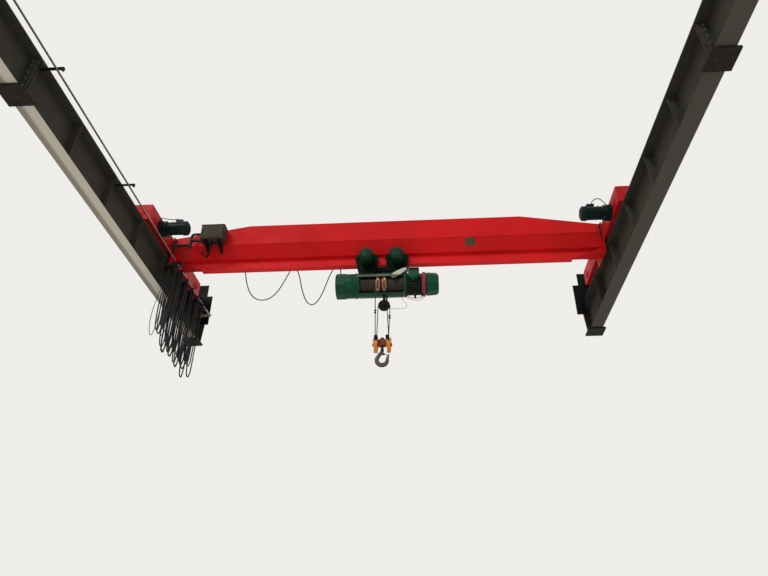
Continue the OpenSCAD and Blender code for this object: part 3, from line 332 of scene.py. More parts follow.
def make_materials():
    paint = bpy.context.scene.crane_paint
    red, green = tuple(paint.girder_red), tuple(paint.hoist_green)
    grey, orange = tuple(paint.runway_grey), tuple(paint.block_orange)
    foot = BEAM_LOW + 0.004
    beam = {"grime": 0.55, "grime_scale": 0.9, "rust": 0.25, "dust": 0.5,
            "streak": (1, 1, 0.2), "shine": 0.06}
    # Painted light on the runway beams' bottom faces below the foot: pale is a painted wall shadow
    # outside and painted floor light inside for the left beam; the right beam's is painted evenly
    # lighter, as if lit from the floor
    pale, right_underside_light = ((0.27, 0.250, 0.205), (0.54, 0.51, 0.44)), ((0.070, 0.066, 0.055),) * 2
    paints = {
        "girder_red": (red, 0.46, {"grime": 0.16, "grime_scale": 0.8, "shine": 0.07}),
        # The girder's red painted lighter for the lower beam and the trolley stops, as painted
        # light from the floor below
        "beam_red": (shade(red, 1.18), 0.52, {"grime": 0.20, "grime_scale": 1.6, "rust": 0.08}),
        "truck_red": (shade(red, 0.78), 0.48, {"grime_scale": 1.1, "dust": 0.4, "shine": 0.12}),
        # Both runway beams are one paint: the left is painted lighter than the right, as if better
        # lit
        "runway_left_painted_light": (shade(grey, 1.40), 0.66, {**beam, "underside": (foot, *pale)}),
        "runway_right_painted_light": (shade(grey, 1.25), 0.66, {**beam, "underside": (foot, *right_underside_light)}),
        # The runway grey darkened to near black as painted shade for the bearing plates and rail
        # clips; grime and rust lie on it
        "bearing_grey_painted_shade": (shade(grey, 0.45), 0.66, {"grime": 0.5, "rust": 0.4}),
        "stop_black": ((0.0060, 0.0062, 0.0068), 0.5, {"grime": 0.2, "shine": 0.06}),
        "drive_blue": ((0.0030, 0.0110, 0.0125), 0.40, {"grime_scale": 2.5, "shine": 0.12}),
        "box_brown": ((0.050, 0.038, 0.024), 0.55, {"grime": 0.30}),
        "hoist_green": (shade(green, 0.68), 0.36, {"grime": 0.30, "dust": 0.15, "shine": 0.12}),
        "dome_green": (shade(green, 0.34), 0.40, {"grime": 0.30, "dust": 0.10}),
        "trolley_green": (shade(green, 0.06), 0.50, {"grime": 0.4, "dust": 0.08, "shine": 0.05}),
        "motor_dark": ((0.0045, 0.0105, 0.0070), 0.46, {"grime": 0.4, "dust": 0.15}),
        "strip_pale": ((0.105, 0.105, 0.082), 0.40, {"grime": 0.40, "dust": 0.1, "shine": 0.2}),
        # A plate painted far lighter than the strip it ends: partly its own pale paint, partly a
        # painted highlight on its twist
        "plate_pale_painted_highlight": ((0.42, 0.47, 0.38), 0.34, {"grime": 0.30, "dust": 0.1, "shine": 0.4}),
        "block_orange": (orange, 0.46, {"grime": 0.40, "grime_scale": 5.0, "rust": 0.25}),
        "block_brown": ((0.22, 0.045, 0.018), 0.5, {"grime": 0.45, "rust": 0.3}),
        "plate_grey": ((0.075, 0.060, 0.036), 0.5, {"dust": 0.2}),
    }
    # Colour, roughness, shares of rust and grease, metallic, scale of the pattern, dark level
    metals = {
        "wire_steel": ((0.36, 0.35, 0.32), 0.42, 0.15, 0.1, 0.6),
        "rail_steel": ((0.16, 0.11, 0.085), 0.5, 0.6, 0.3, 0.6, 4.0),
        "wheel_steel": ((0.20, 0.20, 0.20), 0.38, 0.35, 0.45, 0.8, 8.0),
        "rope_steel": ((0.022, 0.016, 0.012), 0.55, 0.25, 0.5, 0.2, 30.0),
        "drum_steel": ((0.020, 0.016, 0.014), 0.5, 0.3, 0.5, 0.3, 9.0),
        "hook_steel": ((0.072, 0.058, 0.038), 0.50, 0.35, 0.30, 0.30, 10.0, BLOCK_Z - 0.128),
        "bolt_steel": ((0.16, 0.15, 0.14), 0.45, 0.4, 0.3, 0.6, 25.0),
        "guide_brown": ((0.085, 0.022, 0.014), 0.45, 0.25, 0.35, 0.4, 20.0),
        "copper": ((0.78, 0.40, 0.25), 0.28, 0.12, 0.1, 0.85, 20.0),
    }
    for name, (colour, rough, extra) in paints.items():
        MATERIALS[name] = painted_steel(name, colour, rough, **extra)
    for name, values in metals.items():
        MATERIALS[name] = bare_metal(name, *values)
    MATERIALS["cable_black"] = cable_sheath("cable_black", (0.0080, 0.0075, 0.0080), 0.5)
    MATERIALS["wire_red"] = cable_sheath("wire_red", (0.36, 0.038, 0.060), 0.45)


NODE_FINISH = {
    "runway_left_painted_light": "runway_beam_left",
    "runway_right_painted_light": "runway_beam_right",
    # Painted shade: the near-black grey of the bearing plates
    "bearing_grey_painted_shade": "bearing_plates",
    "rail_steel": "crane_rails",
    "stop_black": "end_stops wire_hangers wire_arms control_box_bracket girder_festoon_clips "
                  "runway_festoon_clips balance_sheave",
    "wire_steel": "messenger_wire girder_festoon_wire",
    "girder_red": "girder_box",
    "truck_red": "girder_end_plates end_truck_left end_truck_right",
    # Painted floor light: the lighter red of the lower beam and the trolley stops
    "beam_red": "girder_beam_foot girder_beam_web girder_beam_head trolley_stops",
    "drive_blue": "travel_gearboxes travel_motors",
    "box_brown": "control_box",
    "cable_black": "girder_festoon_cable runway_festoon_cable festoon_lead",
    "wheel_steel": "bridge_wheel_left_near bridge_wheel_left_far bridge_wheel_right_near "
                   "bridge_wheel_right_far trolley_wheels_1 trolley_wheels_2 trolley_wheels_3 "
                   "trolley_wheels_4 block_sheaves",
    "trolley_green": "trolley_side_plates trolley_pins trolley_frame",
    "motor_dark": "hoist_motor",
    "hoist_green": "hoist_housing hoist_gearbox hoist_motor_cover hoist_terminal_box",
    "dome_green": "trolley_motors",
    "guide_brown": "rope_guide",
    "strip_pale": "hoist_cover_strip",
    "drum_steel": "rope_drum",
    "rope_steel": "rope_falls",
    "block_brown": "block_crosshead",
    "block_orange": "block_covers",
    "hook_steel": "hook hook_latch",
}


# Modelling helpers
def clear_selection():
    if bpy.context.object and bpy.context.object.mode != "OBJECT":
        bpy.ops.object.mode_set(mode="OBJECT")
    bpy.ops.object.select_all(action="DESELECT")


def picked(piece):
    """The piece, now the only one selected and the active one."""
    clear_selection()
    piece.select_set(True)
    bpy.context.view_layer.objects.active = piece
    return piece


def named(name):
    """The primitive that was just added, with its name."""
    piece = bpy.context.object
    piece.name = name
    return piece


def aim(direction):
    """The turn that points an upright piece along a direction."""
    return Vector(direction).to_track_quat("Z", "Y")


@contextmanager
def editing():
    """Edit mode on the active piece, with all of its mesh selected."""
    bpy.ops.object.mode_set(mode="EDIT")
    bpy.ops.mesh.select_all(action="SELECT")
    yield
    bpy.ops.object.mode_set(mode="OBJECT")


def faces_outward():
    bpy.ops.mesh.select_all(action="SELECT")
    bpy.ops.mesh.normals_make_consistent(inside=False)


def place_applied(piece):
    picked(piece)
    bpy.ops.object.transform_apply(location=True, rotation=True, scale=True)
    return piece


def smooth(piece, degrees=35):
    picked(piece)
    bpy.ops.object.shade_smooth_by_angle(angle=math.radians(degrees))
    return piece


def modified(piece, kind, **values):
    """A modifier on the active piece, set and applied."""
    modifier = piece.modifiers.new(kind.lower(), kind)
    for key, value in values.items():
        setattr(modifier, key, value)
    bpy.ops.object.modifier_apply(modifier=modifier.name)


def joined(name, pieces):
    clear_selection()
    for piece in pieces:
        piece.select_set(True)
    bpy.context.view_layer.objects.active = pieces[0]
    bpy.ops.object.join()
    pieces[0].name = name
    return pieces[0]


def moved(piece, matrix):
    """The piece with its mesh moved by a matrix, still right side out."""
    piece.data.transform(matrix)
    if matrix.determinant() < 0:
        piece.data.flip_normals()
    return piece


def copied(piece, matrix):
    """A copy with its own mesh, moved by a matrix."""
    twin = piece.copy()
    twin.data = piece.data.copy()
    bpy.context.collection.objects.link(twin)
    return moved(twin, matrix)


def give(piece, material):
    piece.data.materials.clear()
    piece.data.materials.append(MATERIALS[material])


def dressed(piece, material):
    give(piece, material)
    return piece


def ridden(piece, body, material):
    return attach(dressed(piece, material), body)


def fitted(name, pieces, body, material):
    """Loose parts made one piece that rides a body."""
    return ridden(joined(name, pieces), body, material)


def rod(name, start, end, radius, sides=24):
    """A round bar from one point to another."""
    start, end = Vector(start), Vector(end)
    clear_selection()
    bpy.ops.mesh.primitive_cylinder_add(
        vertices=sides, radius=radius, depth=(end - start).length, location=(start + end) / 2,
        rotation=aim(end - start).to_euler())
    return place_applied(named(name))


def slab(name, corner, opposite, bevel=0.002):
    """A box between two corners, its edges eased."""
    lowest = Vector([min(pair) for pair in zip(corner, opposite)])
    highest = Vector([max(pair) for pair in zip(corner, opposite)])
    clear_selection()
    bpy.ops.mesh.primitive_cube_add(size=1, location=(lowest + highest) / 2)
    piece = named(name)
    piece.scale = highest - lowest
    place_applied(piece)
    with editing():
        bpy.ops.mesh.bevel(offset=bevel, segments=2)
    return piece


def through(points, steps):
    """Points on a smooth line through the chosen ones."""
    points = [Vector(p) for p in points]
    out = []
    for i in range(len(points) - 1):
        a, b = points[max(i - 1, 0)], points[i]
        c, d = points[i + 1], points[min(i + 2, len(points) - 1)]
        for k in range(steps):
            t = k / steps
            out.append(0.5 * (2 * b + (c - a) * t + (2 * a - 5 * b + 4 * c - d) * t * t
                              + (3 * b - a - 3 * c + d) * t ** 3))
    return out + [points[-1]]


def tube(name, points, radius, sides=12):
    """A round cable along a line of points, as a mesh with closed ends."""
    curve = bpy.data.curves.new(name, "CURVE")
    curve.dimensions = "3D"
    spline = curve.splines.new("POLY")
    spline.points.add(len(points) - 1)
    for point, place in zip(spline.points, points):
        point.co = (*place, 1)
    curve.bevel_depth = radius
    curve.bevel_resolution = max(1, sides // 4 - 1)
    curve.use_fill_caps = True
    piece = bpy.data.objects.new(name, curve)
    bpy.context.collection.objects.link(piece)
    picked(piece)
    bpy.ops.object.convert(target="MESH")
    piece = named(name)
    with editing():
        bpy.ops.mesh.remove_doubles(threshold=1e-6)
        bpy.ops.mesh.normals_make_consistent(inside=False)
    return smooth(piece, 60)


def turned(name, start, toward, profile, sides=32):
    """A turned part: profile is (distance from start, radius) along the line that points toward."""
    start, toward = Vector(start), Vector(toward).normalized()
    clear_selection()
    bpy.ops.mesh.primitive_circle_add(vertices=sides, radius=profile[0][1], fill_type="NGON",
                                      location=(0, 0, 0))
    piece = named(name)
    with editing():
        for (at0, r0), (at1, r1) in zip(profile, profile[1:]):
            bpy.ops.mesh.extrude_region_move(TRANSFORM_OT_translate={"value": (0, 0, at1 - at0)})
            bpy.ops.transform.resize(value=(r1 / r0, r1 / r0, 1))
        faces_outward()
    piece.rotation_euler = aim(toward).to_euler()
    piece.location = start + toward * profile[0][0]
    return smooth(place_applied(piece))


def stud(name, place, toward, radius, straight, height, tip, sides=6):
    """A nut, collar or stud: straight for a way, then drawn in to its tip."""
    return turned(name, place, toward, [(0, radius), (straight, radius), (height, tip)], sides)


def ring(name, centre, axis, radius, thickness, sides=40, around=10):
    """A round ring lying square to its axis."""
    clear_selection()
    bpy.ops.mesh.primitive_torus_add(
        major_radius=radius, minor_radius=thickness, major_segments=sides, minor_segments=around,
        location=centre, rotation=aim(axis).to_euler())
    return smooth(place_applied(named(name)), 60)


def bolt_pattern():
    """One hexagon bolt head on its washer, 1 unit across, pointing up from the origin."""
    washer = rod("washer", (0, 0, 0), (0, 0, 0.12), 0.62, 16)
    clear_selection()
    bpy.ops.mesh.primitive_cylinder_add(vertices=6, radius=0.5, depth=0.42, location=(0, 0, 0.33))
    head = place_applied(bpy.context.object)
    with editing():
        bpy.ops.mesh.bevel(offset=0.035, segments=1)
    end = rod("thread", (0, 0, 0.5), (0, 0, 0.68), 0.27, 10)
    return joined("bolt", [head, washer, end])


def bolts(name, places, body, material="bolt_steel"):
    """Bolts at (place, direction, width of the head), as one piece that rides a body."""
    pattern = bolt_pattern()
    made = [copied(pattern, Matrix.Translation(Vector(place)) @ aim(toward).to_matrix().to_4x4()
                   @ Matrix.Scale(size, 4)) for place, toward, size in places]
    bpy.data.objects.remove(pattern)
    return fitted(name, made, body, material)


def beads(name, lines, radius, body, material):
    """Weld beads along straight lines, sunk to about half their height."""
    made = [rod("bead", a, b, radius, 6) for a, b in lines]
    return ridden(smooth(joined(name, made), 80), body, material)


def extruded(name, outline, thickness, matrix, bevel=0.0):
    """A flat plate with the given outline in its own X-Y plane, placed by a matrix."""
    clear_selection()
    bpy.ops.mesh.primitive_circle_add(vertices=len(outline), radius=1, fill_type="NGON",
                                      location=(0, 0, 0))
    piece = named(name)
    for vertex, (x, y) in zip(piece.data.vertices, outline):
        vertex.co = (x, y, 0)
    with editing():
        bpy.ops.mesh.extrude_region_move(TRANSFORM_OT_translate={"value": (0, 0, thickness)})
        faces_outward()
        if bevel:
            bpy.ops.mesh.bevel(offset=bevel, segments=2)
    return moved(piece, matrix)


def laid_rope(name, start, end, radius):
    """A straight stretch of stranded rope: a six-lobed bar, twisted along its length."""
    lay, hollow, finest = 0.075, 0.80, 0.010
    start, end = Vector(start), Vector(end)
    length = (end - start).length
    count = max(8, int(length / finest))
    step = length / count
    clear_selection()
    bpy.ops.mesh.primitive_circle_add(vertices=12, radius=radius, fill_type="NOTHING",
                                      location=(0, 0, 0))
    piece = named(name)
    for vertex in piece.data.vertices:
        if vertex.index % 2:
            vertex.co *= hollow
    with editing():
        bpy.ops.mesh.extrude_region_move(TRANSFORM_OT_translate={"value": (0, 0, step)})
    modified(piece, "ARRAY", use_relative_offset=False, use_constant_offset=True,
             constant_offset_displace=(0, 0, step), count=count, use_merge_vertices=True,
             merge_threshold=step / 20)
    modified(piece, "SIMPLE_DEFORM", deform_method="TWIST", deform_axis="Z",
             angle=2 * math.pi * length / lay)
    with editing():
        bpy.ops.mesh.fill_holes(sides=0)
        bpy.ops.mesh.normals_make_consistent(inside=False)
    piece.rotation_euler = aim(end - start).to_euler()
    piece.location = start
    return smooth(place_applied(piece), 50)


def free_wire(name, points, width, body, material="cable_black", steps=6):
    """A cable or wire through the chosen points, riding a body."""
    route = through(points, steps)
    piece = ridden(tube(name, route, width / 2, 10), body, material)


class CRANE_OT_stage(bpy.types.Operator):
    """Camera at the photograph's place, plain lamps and a pale floor"""
    bl_idname = "crane.stage"
    bl_label = "Stage"

    def execute(self, context):
        setting = context.scene.crane_stage
        camera = bpy.data.cameras.new("camera")
        camera.lens, camera.sensor_width, camera.clip_end = setting.lens, 36.0, 200.0
        eye = bpy.data.objects.new("camera", camera)
        context.collection.objects.link(eye)
        yaw, pitch, roll = setting.camera_heading, setting.camera_pitch, setting.camera_roll
        ahead = Vector((-math.sin(yaw) * math.cos(pitch), math.cos(yaw) * math.cos(pitch),
                        math.sin(pitch)))
        level = Vector((math.cos(yaw), math.sin(yaw), 0))
        above = level.cross(ahead)
        right = math.cos(roll) * level + math.sin(roll) * above
        up = math.cos(roll) * above - math.sin(roll) * level
        turn = Matrix((right, up, -ahead)).transposed()
        eye.matrix_world = Matrix.Translation(setting.camera_place) @ turn.to_4x4()
        context.scene.camera = eye
        context.scene.view_settings.view_transform = "Standard"

        world = bpy.data.worlds.new("studio")
        context.scene.world = world
        world.use_nodes = True
        tree = world.node_tree
        tree.nodes.clear()
        rays = new_node(tree, "ShaderNodeLightPath").outputs
        seen = new_node(tree, "ShaderNodeMath", {
            0: rays["Is Camera Ray"], 1: rays["Is Glossy Ray"]}, operation="MAXIMUM")
        shown = new_node(tree, "ShaderNodeMath", {
            0: seen.outputs[0], 1: rays["Is Transmission Ray"]}, operation="MAXIMUM")
        light = new_node(tree, "ShaderNodeBackground", {0: (1.0, 0.98, 0.95, 1), 1: 0.72})
        backdrop = new_node(tree, "ShaderNodeBackground", {0: (0.86, 0.85, 0.82, 1), 1: 1.0})
        mix = new_node(tree, "ShaderNodeMixShader", {
            0: shown.outputs[0], 1: light.outputs[0], 2: backdrop.outputs[0]})
        new_node(tree, "ShaderNodeOutputWorld", {0: mix.outputs[0]})

        for name, tilt, swing, strength, spread in (
                ("key", 58, -28, 1.15, 18), ("fill", 122, -20, 0.60, 40)):
            lamp = bpy.data.lights.new(name, "SUN")
            lamp.energy, lamp.angle = strength, math.radians(spread)
            holder = bpy.data.objects.new(name, lamp)
            holder.rotation_euler = (math.radians(tilt), 0, math.radians(swing))
            context.collection.objects.link(holder)

        clear_selection()
        bpy.ops.mesh.primitive_plane_add(size=60, location=(MID_X, -6, setting.floor_z))
        floor = named("floor")
        made = Surface("floor")
        colour = tuple(setting.floor_colour)
        cloud = made.spots(0.8, 0.2, 0.8, 4.0)
        made.finish(made.mixed(cloud, shade(colour, 0.97), shade(colour, 1.03)), Roughness=0.7)
        floor.data.materials.append(made.material)
        return {"FINISHED"}


# Festoons: a cable lies over each runner on an arc, and hangs in a loop between two of them
ARC = 0.046
OVER_RUNNER = [(ARC * math.cos(math.radians(a)), ARC * math.sin(math.radians(a)))
               for a in (180, 150, 120, 90, 60, 30, 0)]
GIRDER_RUNNERS = (-1.6, -0.85)
RUNNER_Y, RUNNER_Z = 0.330, 0.2312
# From the conduit to the first runner, between the two, and on to the gearbox, in millimetres
GIRDER_LOOPS = (
    ((-2500, 225, 430), (-2500, 251, 430), (-2500, 284, 410), (-2499, 303, 365),
     (-2497, 308, 300), (-2485, 312, 240), (-2446, 330, 150), (-2425, 330, 50),
     (-2385, 330, -90), (-2320, 330, -240), (-2220, 330, -350), (-2100, 330, -390),
     (-1975, 330, -360), (-1860, 330, -250), (-1775, 330, -90), (-1715, 330, 50),
     (-1675, 330, 150)),
    ((-1520, 330, 150), (-1485, 330, 50), (-1450, 330, -100), (-1400, 330, -280),
     (-1330, 330, -440), (-1240, 330, -510), (-1150, 330, -450), (-1075, 330, -300),
     (-1015, 330, -110), (-965, 330, 50), (-925, 330, 150)),
    ((-778, 330, 160), (-768, 328, 80), (-763, 310, 0), (-758, 270, -70),
     (-752, 215, -125), (-748, 165, -160), (-748, 150, -190), (-748, 150, -215)))
# Along the runway: where the runners sit, how deep each loop hangs, and the way of the lead
RUN_YS = (-0.380, -0.120, 0.170, 0.460, 0.750, 1.040)
RUN_LOWS = (-1.560, -1.500, -1.540, -1.600, -1.480)
RUN_SIT = -0.0728
LEAD = ((145, -322, 315), (145, -322, 270), (143, -324, 200), (132, -336, 110),
        (112, -368, 20), (100, -400, -70), (84, -424, -140), (60, -440, -185),
        (30, -440, -196), (8, -432, -170), (0, -427, -130), (0, -426, -98.1))
# The bunch beside it: place across the wire, share of the depth, and lean of the loops
STRAND_LOWS = (-1.20, -1.36, -1.32, -1.37, -1.28)
STRANDS = ((-0.026, 1.00, 0.0), (-0.052, 0.97, -0.010), (-0.078, 0.93, 0.012),
           (-0.104, 1.03, 0.008), (-0.130, 0.98, -0.008))
THIN_LOOPS = (
    ((-75, -412, -80), (-80, -450, -220), (-82, -550, -600), (-80, -660, -1020),
     (-78, -680, -1270), (-76, -620, -1430), (-74, -530, -1400), (-74, -470, -1120),
     (-74, -430, -600), (-74, -400, -160)),
    ((18, -412, -80), (26, -440, -300), (40, -490, -750), (46, -530, -1150),
     (46, -505, -1370), (44, -440, -1380), (40, -405, -1150), (32, -395, -700),
     (22, -390, -160)))


def girder_route():
    """The cable along the girder, over its two runners and down to the gearbox."""
    chosen = metres(GIRDER_LOOPS[0])
    for x, loop in zip(GIRDER_RUNNERS, GIRDER_LOOPS[1:]):
        chosen += [(x + along, RUNNER_Y, RUNNER_Z + up) for along, up in OVER_RUNNER]
        chosen += metres(loop)
    return [girder(*point) for point in through(chosen, 4)]


def runway_points(x=0.0, lows=RUN_LOWS, share=1.0, lean=0.0):
    """A cable along the runway: a loop between each two runners on the messenger wire."""
    swung = x * 1.25

    def over(y):
        return [(x, y + along, RUN_SIT + up) for along, up in OVER_RUNNER]
    chosen = [(x, RUN_YS[0] - ARC, RUN_SIT - 0.025)]
    for y0, y1, deepest, whole in zip(RUN_YS, RUN_YS[1:], RUN_LOWS, lows):
        foot = whole * share
        depth, mid = foot / deepest, (y0 + y1) / 2 + lean
        chosen += over(y0)
        chosen += [(x, y0 + 0.044, -0.4 * depth), (swung, y0 + 0.042 + lean / 2, -0.9 * depth),
                   (swung, y0 + 0.052 + lean, -1.3 * depth), (swung, mid - 0.05, foot + 0.03),
                   (swung, mid, foot), (swung, mid + 0.05, foot + 0.03),
                   (swung, y1 - 0.052 + lean, -1.3 * depth),
                   (swung, y1 - 0.042 + lean / 2, -0.9 * depth), (x, y1 - 0.044, -0.4 * depth)]
    chosen += over(RUN_YS[-1]) + [(x, RUN_YS[-1] + ARC, RUN_SIT - 0.06)]
    return [wire(*point) for point in chosen]


class CRANE_OT_festoons(bpy.types.Operator):
    """The hanging cables along the girder and along the runway"""
    bl_idname = "crane.festoons"
    bl_label = "Festoon cables"

    def execute(self, context):
        setting = context.scene.crane_cable
        whole = girder_route()
        last = [i for i, place in enumerate(whole) if place.x < MID_X - 0.81][-1] + 1
        lead = [wire(*point) for point in through(metres(LEAD), 4)]
        runs = (
            ("girder_cable", whole[:last + 1], setting.girder_cable, "girder_festoon_cable",
             ("bridge",), 0, 0, ["girder_festoon_clips"]),
            ("girder_cable_drop", whole[last:], setting.girder_cable, "girder_festoon_cable",
             ("bridge", "trolley"), GIRDER_Z + 0.15, GIRDER_Z - 0.17, []),
            ("runway_cable", through(runway_points(), 4), setting.runway_cable,
             "runway_festoon_cable", ("runway",), 0, 0, ["runway_festoon_clips"]),
            ("post_lead", lead, setting.runway_cable, "festoon_lead",
             ("bridge", "runway"), WIRE_Z + 0.26, WIRE_Z - 0.09, []),
        )
        for name, route, width, node, bodies, top, foot, on_it in runs:
            cable = tube(name, route, width / 2, setting.cable_sides)
            dressed(cable, "cable_black")
            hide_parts(node)
            if len(bodies) == 1:
                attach(cable, bodies[0])
            else:
                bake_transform(cable)
        rollers = [turned("roller", wire(-0.148, y, RUN_SIT), (1, 0, 0),
                          [(0, 0.030), (0.001, 0.0335), (0.171, 0.0335), (0.172, 0.030)], 24)
                   for y in RUN_YS]
        fitted("strand_rollers", rollers, "runway", "stop_black")
        for i, (x, share, lean) in enumerate(STRANDS):
            free_wire("runway_strand_%d" % (i + 1), runway_points(x, STRAND_LOWS, share, lean),
                      setting.runway_cable, "runway", steps=4)
        near = low("messenger_wire").y + 0.02
        stretch = CRANE_Y + RUN_YS[0] - 0.06 - near
        feed = [Vector((WIRE_X - 0.015, near + stretch * k / 6, WIRE_Z + 0.002)) for k in range(7)]
        free_wire("feed_cable", feed, 0.016, "runway")
        for i, points in enumerate(THIN_LOOPS):
            free_wire("thin_loop_%d" % (i + 1), [wire(*point) for point in metres(points)],
                      0.011, "runway")
        return {"FINISHED"}


class CRANE_OT_runway(bpy.types.Operator):
    """Rail clips, splice bolts, anchor bolts, weld beads and the wire's fittings"""
    bl_idname = "crane.runway"
    bl_label = "Runway fittings"

    def execute(self, context):
        y_near, y_far = low("crane_rails").y, high("crane_rails").y
        joint_y, joint_half, web, bracket_step, last_rib = -6.0, 0.0229, 0.0065, 1.99, 11
        stop_face = -0.2102
        clip = joined("clip", [
            slab("pad", (0.0405, -0.030, 0), (0.088, 0.030, 0.011), 0.001),
            slab("tongue", (0.031, -0.030, 0.0095), (0.088, 0.030, 0.021))])
        clips, clip_bolts = [], []
        count, margin = 18, 0.35
        for i, x, side in product(range(count), RAILS_X, (1, -1)):
            y = y_near + margin + (y_far - y_near - 2 * margin) * i / (count - 1)
            clips.append(copied(clip, Matrix.Translation((x, y, BEAM_TOP))
                                @ Matrix.Diagonal((side, 1, 1, 1))))
            clip_bolts.append(((x + side * 0.066, y, BEAM_TOP + 0.021), (0, 0, 1), 0.026))
        bpy.data.objects.remove(clip)
        fitted("rail_clips", clips, "runway", "bearing_grey_painted_shade")
        bolts("rail_clip_bolts", clip_bolts, "runway")

        bolts("beam_joint_bolts", [
            ((x + dx, joint_y + face * joint_half, BEAM_LOW + dz), (0, face, 0), 0.032)
            for x, dx, dz, face in product(
                RAILS_X, (-0.062, 0.062), (0.09, 0.20, 0.31, 0.42, 0.50), BOTH)], "runway")
        bolts("bearing_bolts", [
            ((x + dx, y + dy, BEAM_LOW), (0, 0, 1), 0.034)
            for x, y, dx, dy in product(RAILS_X, (0, joint_y, 2 * joint_y), (-0.129, 0.129),
                                        (-0.11, 0.11))], "runway")

        lines = []
        for x, side in product(RAILS_X, BOTH):
            face = x + side * web
            lines += [((face, y_near, z), (face, y_far, z))
                      for z in (BEAM_LOW + 0.017, BEAM_TOP - 0.017)]
            lines += [((face, dy - rib, BEAM_LOW + 0.018), (face, dy - rib, BEAM_TOP - 0.018))
                      for rib, dy in product(range(1, last_rib + 1), (-web, web))
                      if rib != -joint_y]
        beads("beam_welds", lines, 0.005, "runway", "runway_right_painted_light")

        places = [*product((0.165, 0.205), (0.32, 0.40, 0.48, 0.56)),
                  (-0.105, BUFFER_Z), (0.105, BUFFER_Z)]
        bolts("end_stop_bolts", [((x + side * dx, stop_face, z), (0, -1, 0), 0.030)
                                 for x, side in ((0, 1), (SPAN, -1)) for dx, z in places],
              "runway", "stop_black")
        collars = [stud("collar", (x, stop_face + 0.0003, BUFFER_Z), (0, -1, 0), 0.074, 0.012,
                        0.016, 0.070, 40) for x in RAILS_X]
        fitted("buffer_collars", collars, "runway", "stop_black")

        knobs, nuts = [], []
        y = -bracket_step
        while y > y_near + 0.03:
            knobs.append(turned("knob", (WIRE_X + 0.058, y, WIRE_Z + 0.0088), (0, 0, -1), [
                (0, 0.012), (0.002, 0.016), (0.008, 0.017), (0.011, 0.012), (0.014, 0.017),
                (0.021, 0.017), (0.026, 0.010)], 20))
            nuts.append(((WIRE_X + 0.058, y, low("wire_hangers").z), (0, 0, 1), 0.022))
            nuts += [((0.1481, y + dy, BEAM_TOP - 0.045), (1, 0, 0), 0.014)
                     for dy in (-0.010, 0.010)]
            y -= bracket_step
        fitted("wire_knobs", knobs, "runway", "cable_black")
        bolts("wire_bracket_bolts", nuts, "runway")

        eye = -0.27
        parts = [stud(name, (WIRE_X, eye + dy, WIRE_Z), (0, way, 0), *form)
                 for name, dy, way, form in (
                     ("thread", -0.0098, 1, (0.006, 0.055, 0.057, 0.005, 16)),
                     ("nut", 0.0102, 1, (0.016, 0.013, 0.015, 0.014)),
                     ("lock_nut", -0.021, -1, (0.0165, 0.011, 0.013, 0.0145)),
                     ("body_end", -0.188, -1, (0.0150, 0.012, 0.030, 0.0085, 20)))]
        fitted("turnbuckle", parts, "runway", "wire_steel")
        return {"FINISHED"}


